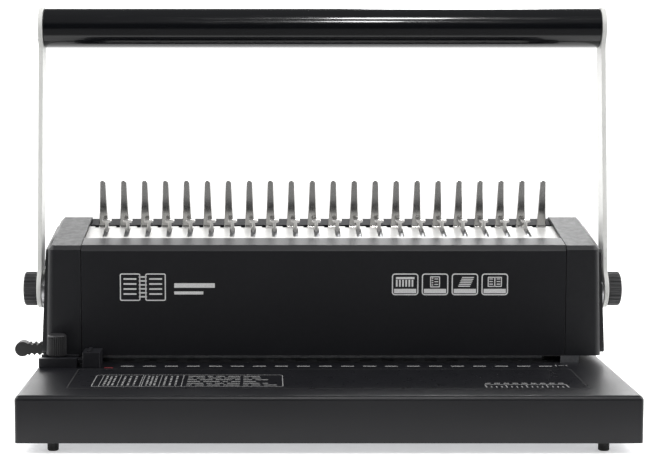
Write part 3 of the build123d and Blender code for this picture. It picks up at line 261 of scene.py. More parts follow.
# ---------------------------------------------------------------- materials
class Finish:
    """A Principled material, with short ways to drive it by noise in the machine's own space."""

    def __init__(self, name, color, roughness, metallic=0.0, **sockets):
        self.material = bpy.data.materials.new(name)
        self.material.use_nodes = True
        self.nodes, self.links = self.material.node_tree.nodes, self.material.node_tree.links
        self.shader = self.nodes["Principled BSDF"]
        self.color = color
        self.shader.inputs["Base Color"].default_value = (*color, 1)
        self.shader.inputs["Roughness"].default_value = roughness
        self.shader.inputs["Metallic"].default_value = metallic
        for socket, value in sockets.items():
            self.shader.inputs[socket.replace("_", " ")].default_value = value
        self.space = self.nodes.new("ShaderNodeTexCoord").outputs["Object"]

    def node(self, kind, inputs=None, **settings):
        made = self.nodes.new(kind)
        for setting, value in settings.items():
            setattr(made, setting, value)
        for socket, value in (inputs or {}).items():
            if isinstance(value, bpy.types.NodeSocket):
                self.links.new(value, made.inputs[socket])
            else:
                made.inputs[socket].default_value = value
        return made

    def noise(self, size, detail=3.0, stretch=(1, 1, 1), roughness=0.5):
        """Noise whose features are about size millimetres wide, longer along an axis that stretch
        gives a number above 1."""
        scale = tuple(1 / s for s in stretch)
        spread = self.node("ShaderNodeMapping", {"Vector": self.space, "Scale": scale})
        wanted = {"Vector": spread.outputs["Vector"], "Scale": 1 / (size * MM), "Detail": detail}
        wanted["Roughness"] = roughness
        return self.node("ShaderNodeTexNoise", wanted).outputs["Fac"]

    def cells(self, size):
        """The distance from the middle of cells that are about size millimetres wide."""
        wanted = {"Vector": self.space, "Scale": 1 / (size * MM)}
        return self.node("ShaderNodeTexVoronoi", wanted).outputs["Distance"]

    def span(self, source, low, high, out_low, out_high):
        wanted = {"Value": source, "From Min": low, "From Max": high, "To Min": out_low, "To Max": out_high}
        return self.node("ShaderNodeMapRange", wanted).outputs["Result"]

    def vary(self, noise, low, high):
        """Noise as a value that mostly lies between low and high."""
        return self.span(noise, 0.3, 0.7, low, high)

    def wear(self, amount):
        """Up to amount on outer edges, from the mesh's pointiness, broken up by noise."""
        flat, width = 0.5, 0.04
        point = self.node("ShaderNodeNewGeometry").outputs["Pointiness"]
        edge = self.span(point, flat + width / 2, flat + width * 1.5, 0, amount)
        return self.times(edge, self.span(self.noise(3), 0.35, 0.65, 0.2, 1))

    def times(self, a, b):
        return self.node("ShaderNodeMath", {0: a, 1: b}, operation="MULTIPLY").outputs[0]

    def plus(self, a, b):
        return self.node("ShaderNodeMath", {0: a, 1: b}, operation="ADD").outputs[0]

    def tint(self, source, *others):
        """Colours the surface by source: its own colour at 0, the next colours towards 1."""
        ramp = self.node("ShaderNodeValToRGB", {"Fac": source})
        stops = [self.color, *others]
        elements = ramp.color_ramp.elements
        while len(elements) < len(stops):
            elements.new(0.5)
        for i, (element, color) in enumerate(zip(elements, stops)):
            element.position = i / (len(stops) - 1)
            element.color = (*color, 1)
        self.links.new(ramp.outputs["Color"], self.shader.inputs["Base Color"])
        return self

    def rough(self, source):
        self.links.new(source, self.shader.inputs["Roughness"])
        return self

    def bump(self, *layers):
        """Each layer is (height, depth in millimetres)."""
        normal = None
        for height, depth in layers:
            wanted = {"Height": height, "Distance": depth * MM, "Strength": 1.0}
            if normal is not None:
                wanted["Normal"] = normal
            normal = self.node("ShaderNodeBump", wanted).outputs["Normal"]
        self.links.new(normal, self.shader.inputs["Normal"])
        return self


def grey(value):
    return (value, value, value)


def powder_coat(name, color, lighter, roughness, specular=0.5):
    """Baked powder: a soft orange peel with a finer grain, and edges rubbed a little brighter."""
    finish = Finish(name, color, roughness, Specular_IOR_Level=specular)
    broad, peel, grain = finish.noise(60, 2), finish.noise(1.1, 2), finish.noise(0.32, 2)
    finish.tint(finish.plus(finish.vary(broad, 0, 0.35), finish.wear(0.5)), lighter)
    rough = finish.vary(grain, roughness - 0.05, roughness + 0.05)
    finish.rough(finish.plus(rough, finish.vary(broad, -0.02, 0.03)))
    return finish.bump((peel, 0.016), (grain, 0.012)).material


def moulded(name, color, lighter, roughness, grain_size=0.45, grain_depth=0.02, clouds=0.4):
    """Injection-moulded plastic with a spark-eroded grain."""
    finish = Finish(name, color, roughness, Specular_IOR_Level=0.45)
    grain, broad = finish.cells(grain_size), finish.noise(25, 2)
    finish.tint(finish.plus(finish.vary(broad, 0, clouds), finish.wear(0.6)), lighter)
    finish.rough(finish.vary(finish.noise(4, 3), roughness - 0.05, roughness + 0.05))
    return finish.bump((grain, grain_depth), (finish.noise(0.2, 2), grain_depth / 2)).material


def metal(name, color, darker, roughness, size, stretch=(1, 1, 1), depth=0.004, spread=0.1, metallic=1.0):
    """Bare or plated metal, marked by its last machining along the stretched axis."""
    finish = Finish(name, color, roughness, metallic=metallic)
    marks, clouds = finish.noise(size, 3, stretch), finish.noise(12, 3)
    finish.tint(finish.span(finish.times(marks, clouds), 0.12, 0.42, 0, 1), darker)
    finish.rough(finish.vary(marks, roughness - spread / 2, roughness + spread / 2))
    return finish.bump((marks, depth)).material


body_paint = powder_coat("body_powder_coat", (0.0026, 0.0028, 0.0047), (0.0060, 0.0063, 0.0088), 0.42, 0.45)
base_paint = powder_coat("base_powder_coat", (0.0031, 0.0032, 0.0050), (0.0070, 0.0072, 0.0095), 0.38, 0.46)
rear_paint = powder_coat("rear_powder_coat", (0.0036, 0.0038, 0.0058), (0.007, 0.0073, 0.0100), 0.62, 0.12)
cap_plastic = moulded("cap_plastic", (0.0032, 0.0035, 0.0054), (0.0075, 0.0079, 0.0102), 0.46, clouds=0.2)
panel_paint = powder_coat("panel_paint", (0.0035, 0.0035, 0.0052), (0.0075, 0.0075, 0.009), 0.4)
guide_plastic = moulded("guide_plastic", (0.006, 0.0062, 0.0085), (0.015, 0.015, 0.018), 0.4, 0.35)
knob_plastic = moulded("knob_plastic", (0.017, 0.017, 0.0185), (0.032, 0.032, 0.034), 0.42, 0.3, 0.012)
lever_plastic = moulded("lever_plastic", (0.0165, 0.0165, 0.0175), (0.03, 0.03, 0.031), 0.5, 0.3, 0.015)
drawer_plastic = moulded("drawer_plastic", (0.012, 0.012, 0.014), (0.02, 0.02, 0.022), 0.5)
POLISH = {"size": 0.5, "depth": 0.0025, "spread": 0.08}
UPRIGHT, ACROSS = (1, 14, 14), (14, 1, 1)  # ways that polishing marks run
nickel = metal("bright_nickel", (0.48, 0.475, 0.465), (0.4, 0.395, 0.385), 0.17, stretch=UPRIGHT, **POLISH)
deck_nickel = metal("satin_nickel", (0.74, 0.735, 0.72), (0.64, 0.635, 0.62), 0.42, stretch=ACROSS,
                    metallic=0.12, **POLISH)
hook_nickel = metal("hook_nickel", (0.84, 0.83, 0.81), (0.7, 0.69, 0.67), 0.2, stretch=UPRIGHT,
                    metallic=0.7, **POLISH)
zinc = metal("zinc_plate", (0.62, 0.63, 0.65), (0.42, 0.43, 0.46), 0.34, 2.2, depth=0.003)
ground_steel = metal("ground_steel", (0.52, 0.52, 0.53), (0.33, 0.33, 0.34), 0.3, 0.3, (12, 1, 1), 0.004)
bronze = metal("sintered_bronze", (0.5, 0.33, 0.16), (0.32, 0.2, 0.1), 0.42, 0.4, depth=0.01)
wire_steel = metal("spring_wire", (0.42, 0.42, 0.43), (0.26, 0.26, 0.27), 0.28, 0.25, depth=0.003)
screw_steel = metal("zinc_screws", (0.66, 0.66, 0.64), (0.42, 0.42, 0.41), 0.28, 0.6, depth=0.003)
black_oxide = metal("black_oxide", (0.045, 0.046, 0.05), (0.022, 0.023, 0.026), 0.36, 0.6, depth=0.004)


def gloss_black():
    """The grip's thick gloss paint: a very slight waviness and a few faint scuffs in the clear coat."""
    finish = Finish("grip_gloss", (0.0025, 0.003, 0.0042), 0.16, Specular_IOR_Level=0.3,
                    Coat_Weight=0.35, Coat_Roughness=0.045)
    waves, scuffs = finish.noise(30, 1, (4, 1, 1)), finish.noise(1.2, 4, (25, 1, 1), 0.7)
    finish.tint(finish.span(scuffs, 0.62, 0.75, 0, 0.5), (0.02, 0.02, 0.023))
    finish.rough(finish.span(scuffs, 0.5, 0.75, 0.14, 0.26))
    return finish.bump((waves, 0.01), (finish.noise(0.9, 2), 0.0004)).material


def arm_enamel():
    """Pale grey stove enamel on the arms, with a soft peel and small darker rubs."""
    finish = Finish("arm_enamel", (0.78, 0.785, 0.76), 0.36, Specular_IOR_Level=0.4, Coat_Weight=0.1,
                    Coat_Roughness=0.15)
    broad, rubs = finish.noise(30, 3), finish.noise(2.5, 4)
    tone = finish.plus(finish.vary(broad, 0, 0.4), finish.span(rubs, 0.62, 0.74, 0, 0.6))
    finish.tint(tone, (0.6, 0.6, 0.58))
    finish.rough(finish.span(rubs, 0.4, 0.7, 0.32, 0.46))
    return finish.bump((finish.noise(1.3, 2), 0.01)).material


def rubber_finish():
    finish = Finish("foot_rubber", grey(0.012), 0.8, Specular_IOR_Level=0.3)
    finish.tint(finish.span(finish.noise(2.5, 4), 0.35, 0.7, 0, 1), grey(0.03))
    finish.rough(finish.vary(finish.noise(0.8, 3), 0.7, 0.9))
    return finish.bump((finish.noise(0.25, 3), 0.03)).material


def ink(name, color, thinner):
    """Screen-printed ink, a little thinner in places."""
    roughness = 0.5
    finish = Finish(name, color, roughness, Specular_IOR_Level=0.4)
    finish.tint(finish.span(finish.noise(0.5, 3), 0.35, 0.75, 0, 1), thinner)
    finish.rough(finish.vary(finish.noise(1.5, 2), roughness - 0.06, roughness + 0.06))
    return finish.bump((finish.noise(0.12, 2), 0.004)).material


def film_finish():
    """The clear-lacquered label film on the base."""
    finish = Finish("label_film", (0.0075, 0.0077, 0.0098), 0.3, Specular_IOR_Level=0.5)
    finish.tint(finish.vary(finish.noise(35, 3), 0, 1), (0.010, 0.010, 0.0125))
    finish.rough(finish.vary(finish.noise(7, 3), 0.26, 0.34))
    return finish.bump((finish.noise(5, 2), 0.006)).material


grip_gloss, arm_paint, rubber, film = gloss_black(), arm_enamel(), rubber_finish(), film_finish()
white_ink = ink("white_ink", grey(0.85), grey(0.62))
mark_ink = ink("mark_ink", grey(0.42), grey(0.32))
faint_ink = ink("faint_ink", grey(0.05), grey(0.035))
grey_ink = ink("grey_ink", grey(0.34), grey(0.22))
red_ink = ink("red_ink", (0.3, 0.035, 0.045), (0.18, 0.025, 0.03))

# ---------------------------------------------------------------- CAD nodes that stay
KEPT = {
    rubber: ["rubber_feet"],
    bronze: ["bushing_left", "bushing_right"],
    zinc: ["bottom_plate", "drawer_rails", "throat_spacers", "side_frame_left", "side_frame_right",
           "hook_carriage", "carriage_guides", "back_gauge"],
    ground_steel: ["die_plate", "guide_plate", "punch_bar", "punch_pins", "punch_rack_left",
                   "punch_rack_right", "main_shaft", "punch_pinion_left", "punch_pinion_right",
                   "opener_gear_left", "opener_gear_right", "opener_dog_left", "opener_dog_right",
                   "opener_tie_rod"],
    wire_steel: ["return_springs"],
    screw_steel: ["foot_screws", "frame_bolts", "plate_screws", "deck_rivets"],
    grip_gloss: ["grip_plug_left", "grip_plug_right"],
}
for material, names in KEPT.items():
    for name in names:
        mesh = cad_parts[name].data
        mesh.materials.clear()
        mesh.materials.append(material)

# ---------------------------------------------------------------- housings, softened at their edges
SHEET_EDGE, MOULDED_EDGE = 0.3, 0.45  # radii of the edges of painted sheet metal and of plastic


def soft_skin(node, edge, material, body, name=None):
    """A softened copy of a CAD node, which takes the node's place."""
    piece(name or f"{node}_skin", [softened(node, edge)], material, body, [node])


soft_skin("base_housing", SHEET_EDGE + 0.05, base_paint, "frame")
soft_skin("front_cover", SHEET_EDGE, body_paint, "frame")
soft_skin("rear_cover", SHEET_EDGE, rear_paint, "frame")
for end in ("left", "right"):
    soft_skin(f"end_cap_{end}", MOULDED_EDGE, cap_plastic, "frame", f"end_cap_skin_{end}")
    soft_skin(f"side_panel_{end}", SHEET_EDGE - 0.05, panel_paint, "frame",
              f"side_panel_skin_{end}")
soft_skin("chip_drawer", MOULDED_EDGE - 0.05, drawer_plastic, "drawer")
soft_skin("guide_rail", MOULDED_EDGE, guide_plastic, "frame")
soft_skin("edge_stop", MOULDED_EDGE - 0.05, guide_plastic, "sheet_stop")

# ---------------------------------------------------------------- comb deck and its fingers
DECK_FRONT_U, DECK_HALF = -45.0, 175.0
HOOK_OFFSET, SLOT_R = 2.75, 1.7
SLOT_FRONT_U, SLOT_BACK_U = -25.2, -2.1
SLOT_EDGE = 0.12
FINGER_CHAMFER = 0.4
FINGER_LEVELS = (4, 8, 12, 16, 20, 24)  # heights of the rings up a finger's straight part
BEND_STEPS, TIP_STEPS, TIP_END = 6, 8, 88  # the tip's arc stops just short of a point, in degrees
BEND_R = 1.3  # inside the bend where a finger leaves the deck
NOTCH_LEFT, NOTCH_RIGHT, NOTCH_U = 5.9, 3.15, -2.0  # relief cut beside each finger's root
HOOK_XS = [x + HOOK_OFFSET for x in FINGER_XS[:-1]]


def deck_plate():
    """The slotted deck, cut back on both sides of each finger's root."""
    back = []
    for x in reversed(FINGER_XS):
        back += [(x + NOTCH_RIGHT, FINGER_T), (x + NOTCH_RIGHT, -BEND_R), (x - NOTCH_RIGHT, -BEND_R)]
        back += [(x - NOTCH_RIGHT, NOTCH_U), (x - NOTCH_LEFT, NOTCH_U), (x - NOTCH_LEFT, FINGER_T)]
    outline = [(-DECK_HALF, DECK_FRONT_U), (DECK_HALF, DECK_FRONT_U), (DECK_HALF, FINGER_T), *back,
               (-DECK_HALF, FINGER_T)]
    slots = []
    for x in HOOK_XS:
        front_end = arc(x, SLOT_FRONT_U + SLOT_R, SLOT_R, 180, 360)
        slots.append(front_end + arc(x, SLOT_BACK_U - SLOT_R, SLOT_R, 0, 180))
    return plate([outline, *slots], DECK @ Matrix.Translation((0, 0, -DECK_T)), DECK_T, SLOT_EDGE)


def strip_section(half_width, half_thick):
    """Corners of a flat strip's section with its edges cut off, as (across, through)."""
    widest, shallower = 0.9, 0.8
    x = half_width - min(FINGER_CHAMFER, half_width * widest)
    y = half_thick - shallower * FINGER_CHAMFER
    right = [(x, -half_thick), (half_width, -y), (half_width, y), (x, half_thick)]
    return right + [(-across, -through) for across, through in right]


def finger(x):
    """A finger bent up from the deck, narrowing to a round tip."""
    tip_r, half_t = FINGER_TIP_W / 2, FINGER_T / 2
    straight = FINGER_H - tip_r

    def half_width(w):
        share = min(max((w + DECK_T) / (straight + DECK_T), 0), 1)
        return FINGER_ROOT_W / 2 + (tip_r - FINGER_ROOT_W / 2) * share

    stations = []  # (u, w, lean from the deck's plane, half width)
    middle_r = BEND_R + half_t
    for k in range(BEND_STEPS + 1):
        a = radians(90 * k / BEND_STEPS)
        stations.append((-BEND_R + middle_r * sin(a), BEND_R - middle_r * cos(a), a, half_width(0)))
    for w in (*FINGER_LEVELS, straight):
        stations.append((half_t, w, pi / 2, half_width(w)))
    for k in range(1, TIP_STEPS + 1):
        a = radians(TIP_END * k / TIP_STEPS)
        stations.append((half_t, straight + tip_r * sin(a), pi / 2, tip_r * cos(a)))
    rings = []
    for u, w, a, half in stations:
        ring = []
        for across, through in strip_section(half, half_t):
            ring.append(DECK @ Vector((x + across, u - through * sin(a), w + through * cos(a))))
        rings.append(ring)
    return skin(rings)


piece("comb_deck_plate", [deck_plate()], deck_nickel, "frame", ["comb_deck"])
piece("comb_fingers", [finger(x) for x in FINGER_XS], nickel, "frame", ["finger_bar"])

STEM_HALF, HEAD_HALF, HEAD_LOW, HOOK_TOP, HOOK_FOOT = 1.2, 3.1, 4.6, 6.4, -4.0
HOOK_FRONT_U, HOOK_BACK_U = -6.0, -3.0
HOOK_RADII = [0.2, 0.2, 0.5, 0.8, 0.85, 0.85, 0.8, 0.5]  # of its eight corners, from the foot round
HOOK_EDGE = 0.35


def hook(x):
    """One T-shaped hook, square to the deck."""
    corners = [(-STEM_HALF, HOOK_FOOT), (STEM_HALF, HOOK_FOOT), (STEM_HALF, HEAD_LOW), (HEAD_HALF, HEAD_LOW),
               (HEAD_HALF, HOOK_TOP), (-HEAD_HALF, HOOK_TOP), (-HEAD_HALF, HEAD_LOW), (-STEM_HALF, HEAD_LOW)]
    place = DECK @ Matrix.Translation((0, HOOK_BACK_U, 0)) @ facing_front(x)
    return plate([rounded(corners, HOOK_RADII)], place, HOOK_BACK_U - HOOK_FRONT_U, HOOK_EDGE)


piece("comb_hook_row", [hook(x) for x in HOOK_XS], hook_nickel, "hook_slider", ["comb_hooks"])

# ---------------------------------------------------------------- handle
HUB_R, GRIP_END_R, ARM_HALF, ARM_FILLET, SHAFT_R = 12.8, 14.3, 8.0, 10.0, 5.0
STUD_ORBIT, STUD_R, STUD_LENGTH, STUD_EDGE, STUD_ROOT = 10.6, 1.9, 2.8, 0.3, 0.5
ARM_EDGE, SHAFT_PLAY = 0.4, 0.08
GRIP_SCREW_OFFSETS = (-7.8, 7.8)


def arm_outline():
    """Two discs joined by a bar, with a fillet at each of the four corners."""
    reach = ARM_HALF + ARM_FILLET
    low = sqrt((HUB_R + ARM_FILLET) ** 2 - reach**2)
    high = ARM_LENGTH - sqrt((GRIP_END_R + ARM_FILLET) ** 2 - reach**2)
    low_angle = Vector((reach, low)).angle_signed(Vector((1, 0))) * 180 / pi
    high_angle = Vector((1, 0)).angle_signed(Vector((reach, ARM_LENGTH - high))) * -180 / pi
    right = arc(0, 0, HUB_R, -90, low_angle, 14)
    right += arc(reach, low, ARM_FILLET, 180 + low_angle, 180, 5)
    right += arc(reach, high, ARM_FILLET, 180, 180 - high_angle, 5)
    right += arc(0, ARM_LENGTH, GRIP_END_R, -high_angle, 90, 16)
    left = [(-x, y) for x, y in reversed(right[1:-1])]
    return right + left


def arm(x):
    """The flat arm with the stud that drives the opener, on its inner face."""
    profile = [(0, -STUD_LENGTH), (STUD_R - STUD_EDGE, -STUD_LENGTH), (STUD_R, STUD_EDGE - STUD_LENGTH),
               (STUD_R, STUD_ROOT), (0, STUD_ROOT)]
    bore = circle(0, 0, SHAFT_R + SHAFT_PLAY)
    flat = plate([arm_outline(), bore], arm_side(x), ARM_T, ARM_EDGE, steps=3)
    return [flat, lathe(profile, arm_side(x, STUD_ORBIT), steps=20)]


right_arm = arm(ARM_IN)
piece("handle_arm_skin_left", [mirrored(part) for part in right_arm], arm_paint, "handle",
      ["handle_arm_left"])
piece("handle_arm_skin_right", right_arm, arm_paint, "handle", ["handle_arm_right"])

GRIP_EDGE = 0.9
grip_profile = [(GRIP_BORE_R, -ARM_IN), (GRIP_R - GRIP_EDGE, -ARM_IN)]
grip_profile += arc(GRIP_R - GRIP_EDGE, -ARM_IN + GRIP_EDGE, GRIP_EDGE, -90, 0, 4)[1:]
grip_profile += [(GRIP_R, step * ARM_IN / 5) for step in range(-4, 5)]
grip_profile += arc(GRIP_R - GRIP_EDGE, ARM_IN - GRIP_EDGE, GRIP_EDGE, 0, 90, 4)
grip_profile += [(GRIP_BORE_R, ARM_IN)]
grip_tube = lathe(grip_profile, arm_side(0, ARM_LENGTH), steps=96)
piece("grip_tube", [grip_tube], grip_gloss, "handle", ["grip_bar"])


# ---------------------------------------------------------------- screws
HEAD_RINGS = [0.16, 0.3, 0.44, 0.58, 0.72, 0.86, 0.95, 1.0]  # shares of the head's radius
HEAD_CROWN, HEAD_RIM = 0.12, 0.25  # what the crown and the rim fall by, as shares of its height
RECESS_HALF, RECESS_REACH, RECESS_DEPTH = 0.15, 0.56, 0.55  # shares of its radius and its height


def turned_head(place, radius, height, shank_r, shank_length, steps=48):
    """A pan head: rounded rim, low crown and a cross recess sunk in it."""
    half, reach, depth = radius * RECESS_HALF, radius * RECESS_REACH, height * RECESS_DEPTH
    rows = [[Vector((0, 0, height - depth))] * steps]
    for share in HEAD_RINGS:
        crown = height - height * HEAD_CROWN * share**2 - (height * HEAD_RIM if share == 1 else 0)
        row = []
        for i in range(steps):
            a = 2 * pi * i / steps
            x, y = radius * share * cos(a), radius * share * sin(a)
            inside = min(abs(x), abs(y)) < half and max(abs(x), abs(y)) < reach
            row.append(Vector((x, y, crown - (depth if inside else 0))))
        rows.append(row)
    rim = [Vector((x, y, 0)) for x, y in circle(0, 0, radius, steps)]
    rows.append(rim)
    rows.append([Vector((shank_r * v.x / radius, shank_r * v.y / radius, 0)) for v in rim])
    rows.append([Vector((v.x, v.y, -shank_length)) for v in rows[-1]])
    rows.append([Vector((0, 0, -shank_length))] * steps)
    shape = skin(rows, closed_ends=False)
    bmesh.ops.remove_doubles(shape, verts=shape.verts, dist=WELD)
    shape.transform(place)
    return shape


PANEL_SCREWS = [(8.0, 60.0), (69.0, 70.0), (69.0, 9.0)]
PANEL_BOTTOM_X, PANEL_TOP_X, PANEL_H, PANEL_Z = 185.1, 181.5, 72.0, 40.0
PANEL_FACE = frame_at((PANEL_BOTTOM_X, 0, PANEL_Z), (0, 1, 0), (PANEL_H, 0, PANEL_BOTTOM_X - PANEL_TOP_X))
# Each kind of screw: radius and height of the head, radius and length of the shank.
PANEL_SCREW, REAR_SCREW, GRIP_SCREW = (2.6, 1.0, 1.3, 8), (2.6, 1.4, 1.25, 7), (2.9, 1.5, 1.45, 10)
panel_heads = [turned_head(PANEL_FACE @ Matrix.Translation((y, up, 0)), *PANEL_SCREW)
               for y, up in PANEL_SCREWS]
piece("panel_screw_heads", [mirrored(head) for head in panel_heads] + panel_heads, black_oxide, "frame",
      ["panel_screws"])

REAR_SCREW_XS, REAR_SCREW_ZS = (-155.0, 155.0), (52.0, 103.0)
rear_heads = []
for x in REAR_SCREW_XS:
    for z in REAR_SCREW_ZS:
        facing_back = frame_at((x, REAR_Y, z), (-1, 0, 0), (0, 1, 0))
        rear_heads.append(turned_head(facing_back, *REAR_SCREW))
piece("rear_screw_heads", rear_heads, screw_steel, "frame", ["rear_screws"])

grip_heads = [turned_head(arm_side(ARM_IN + ARM_T, ARM_LENGTH + along), *GRIP_SCREW)
              for along in GRIP_SCREW_OFFSETS]
piece("grip_screw_heads", [mirrored(head) for head in grip_heads] + grip_heads, screw_steel, "handle",
      ["grip_screws"])

# ---------------------------------------------------------------- knobs and lever
KNOB_SHADING = 40  # degrees, so that the flutes stay smooth
KNOB_X, KNOB_R, KNOB_T, KNOB_BORE = 190.3, 11.35, 9.0, (2.65, 6.6)
KNOB_FLUTES, KNOB_FLUTE_DEPTH, KNOB_STEPS = 24, 0.62, 240


def pivot_knob(sign):
    """A fluted knob: bore, back face, fluted rim, and a front face with a turned ring."""
    bore_r, bore_depth = KNOB_BORE
    back = [(0, bore_depth), (bore_r, bore_depth), (bore_r, 0), (KNOB_R - 1.3, 0)]
    rim = [(KNOB_R - 0.5, 0.35, 0.5), (KNOB_R, 1.1, 1), (KNOB_R, KNOB_T - 1.4, 1),
           (KNOB_R - 0.4, KNOB_T - 0.7, 0.6), (KNOB_R - 1.2, KNOB_T - 0.3, 0.1)]
    groove = [(KNOB_R - 2.4, KNOB_T - 0.22), (KNOB_R - 2.8, KNOB_T - 0.5), (KNOB_R - 3.2, KNOB_T - 0.22)]
    face = [(KNOB_R * 0.4, KNOB_T), (0, KNOB_T)]
    place = frame_at(SHAFT + Vector((KNOB_X, 0, 0)), (0, 1, 0), (1, 0, 0))
    shape = lathe(back + rim + groove + face, place, KNOB_STEPS, KNOB_FLUTES, KNOB_FLUTE_DEPTH)
    if sign < 0:
        right, shape = shape, mirrored(shape)
        right.free()
    return shape


for end, sign in (("left", -1), ("right", 1)):
    piece(f"pivot_knob_skin_{end}", [pivot_knob(sign)], knob_plastic, f"knob_{end}",
          [f"pivot_knob_{end}"], KNOB_SHADING)

knob_low, knob_high = box("edge_knob")
EDGE_KNOB_R, EDGE_KNOB_H, EDGE_BORE_R, EDGE_BORE_DEPTH = 6.1, knob_high.z - knob_low.z, 2.05, 10.5
EDGE_KNURLS, EDGE_KNURL_DEPTH, EDGE_KNOB_STEPS = 30, 0.5, 300
knob_centre = (knob_low + knob_high) / 2
edge_foot = [(0, EDGE_BORE_DEPTH), (EDGE_BORE_R, EDGE_BORE_DEPTH), (EDGE_BORE_R, 0), (EDGE_KNOB_R - 0.8, 0)]
edge_rim = [(EDGE_KNOB_R, 0.6, 1), (EDGE_KNOB_R, EDGE_KNOB_H - 1.6, 1),
            (EDGE_KNOB_R - 0.15, EDGE_KNOB_H - 1.2, 0.4), (EDGE_KNOB_R - 0.1, EDGE_KNOB_H - 0.9)]
edge_top = [(EDGE_KNOB_R - 0.5, EDGE_KNOB_H - 0.3), (EDGE_KNOB_R - 1.1, EDGE_KNOB_H),
            (EDGE_KNOB_R * 0.5, EDGE_KNOB_H - 0.15), (0, EDGE_KNOB_H - 0.2)]
edge_place = Matrix.Translation((knob_centre.x, knob_centre.y, knob_low.z))
edge_knob = lathe(edge_foot + edge_rim + edge_top, edge_place, EDGE_KNOB_STEPS, EDGE_KNURLS, EDGE_KNURL_DEPTH)
piece("edge_knob_skin", [edge_knob], knob_plastic, "stop_knob", ["edge_knob"], KNOB_SHADING)

lever_low, lever_high = box("margin_lever")
LEVER_Z, LEVER_END_R = 42.0, 4.95
LEVER_WAVE, LEVER_HALF, LEVER_RIPPLE = 3.5, 3.4, 0.65
LEVER_INNER_X = -180.8
LEVER_NECK, LEVER_END_ARC = 3.6, (46, 314)  # where the ripples meet the round end
LEVER_EDGE, SHANK_EDGE, SHANK_CORNER, WEB_EDGE, WEB_CORNER = 0.35, 0.2, 0.6, 0.3, 0.8


def lever_outline():
    """The grip of the margin lever in the XZ plane: a rippled tongue with a round end."""
    end_x = lever_low.x + LEVER_END_R
    top = []
    x = LEVER_INNER_X
    while x > end_x + LEVER_NECK:
        top.append((x, LEVER_HALF + LEVER_RIPPLE * cos(2 * pi * (x - LEVER_INNER_X) / LEVER_WAVE)))
        x -= LEVER_WAVE / 10
    end = arc(end_x, 0, LEVER_END_R, *LEVER_END_ARC, 28)
    bottom = [(x, -z) for x, z in reversed(top)]
    return top + end + bottom


LEVER_WIDTH = lever_high.y - lever_low.y
SHANK_OUT, SHANK_IN, SHANK_Z, SHANK_T, SHANK_INSET = -184.2, -164.0, 46.6, 2.6, 0.5
WEB_IN, WEB_FOOT = -180.6, 38.6
lever_place = facing_front(0, lever_high.y, LEVER_Z)
lever_grip = plate([lever_outline()], lever_place, LEVER_WIDTH, LEVER_EDGE, steps=3)
shank_outline = rectangle(SHANK_OUT, lever_low.y + SHANK_INSET, SHANK_IN, lever_high.y - SHANK_INSET,
                          SHANK_CORNER)
shank = plate([shank_outline], Matrix.Translation((0, 0, SHANK_Z)), SHANK_T, SHANK_EDGE)
web_outline = rectangle(SHANK_OUT, WEB_FOOT, WEB_IN, SHANK_Z + SHANK_T, WEB_CORNER)
web = plate([web_outline], facing_front(0, lever_high.y), LEVER_WIDTH, WEB_EDGE)
piece("margin_lever_skin", [lever_grip, web, shank], lever_plastic, "margin_gauge",
      ["margin_lever"])

# ---------------------------------------------------------------- print, in thin layers of ink
INK_T = 0.05


def bars(rows, place):
    """Small printed rectangles, each (x0, y0, x1, y1) in place's plane."""
    return [plate([rectangle(*corners)], place, INK_T) for corners in rows]


def ring_frame(x0, y0, x1, y1, line, radius):
    """The two outlines of a frame with rounded corners."""
    least = 0.2
    inner_radius = max(radius - line, least)
    return [rectangle(x0, y0, x1, y1, radius),
            rectangle(x0 + line, y0 + line, x1 - line, y1 - line, inner_radius)]


def frame_print(corners, line, radius, place):
    """A printed frame with rounded corners, its line that wide."""
    return plate(ring_frame(*corners, line, radius), place, INK_T)


base_top = Matrix.Translation((0, 0, BASE_TOP))
FILM_T, FILM_CORNER = 0.08, 2
FILM_HALF, FILM_FRONT, FILM_BACK = 158.7, -90.6, -24.7
film_top = Matrix.Translation((0, 0, BASE_TOP + FILM_T))
film_outline = rectangle(-FILM_HALF, FILM_FRONT, FILM_HALF, FILM_BACK, FILM_CORNER)
piece("label_film", [plate([film_outline], base_top, FILM_T)], film, "frame")

DASH_Y, DASH_HALF, DASH_W, DASH_SHIFT = -15.0, 4.15, 1.8, 1.0
dashes = [(x + DASH_SHIFT - DASH_HALF, DASH_Y - DASH_W / 2, x + DASH_SHIFT + DASH_HALF, DASH_Y + DASH_W / 2)
          for x in PIN_XS]
piece("hole_marks", bars(dashes[1:], base_top), mark_ink, "frame")
FIRST_MARK = (-141.9, -21.6, -136.3, -19.4)
piece("first_hole_mark", bars([FIRST_MARK], base_top), red_ink, "frame")

BOX_X0, BOX_X1, BOX_Y0, BOX_Y1, BOX_LINE, BOX_CORNER = -143.9, -26.9, -84.2, -45.8, 0.5, 2.5
DIVIDERS = (-139.3, -128.2, -114.5, -113.3, -102.7, -89.0)
DIVIDER_HALF, DIVIDER_GAP, NARROWEST_CELL, CELL_MARGIN = 0.2, 0.8, 3, 1.6
COLUMNS, COLUMN_START = 3, 0.2
BARS, BAR_W, BAR_H, BAR_STEP, BAR_PITCH, BAR_FOOT = 6, 1.2, 2.4, 0.8, 5.3, 4
LINES, LINE_H, LINE_PITCH, LINE_FOOT, LINE_MARGIN = 6, 1.5, 5.7, 4.2, 3
WORDS, WORD_GAP, SHORTEST_WORD, WORD_STEP = 7, 2.0, 3.2, 2.3


def picture_cell(index, x0, x1):
    """Three columns of small upright bars of uneven height."""
    left, right = x0 + CELL_MARGIN, x1 - CELL_MARGIN
    rows = []
    for k in range(COLUMNS):
        x = left + (right - left) * (k + COLUMN_START) / COLUMNS
        for n in range(BARS):
            y = BOX_Y0 + BAR_FOOT + BAR_PITCH * n
            rows.append((x, y, x + BAR_W, y + BAR_H + BAR_STEP * ((index + k + n) % 3)))
    return rows


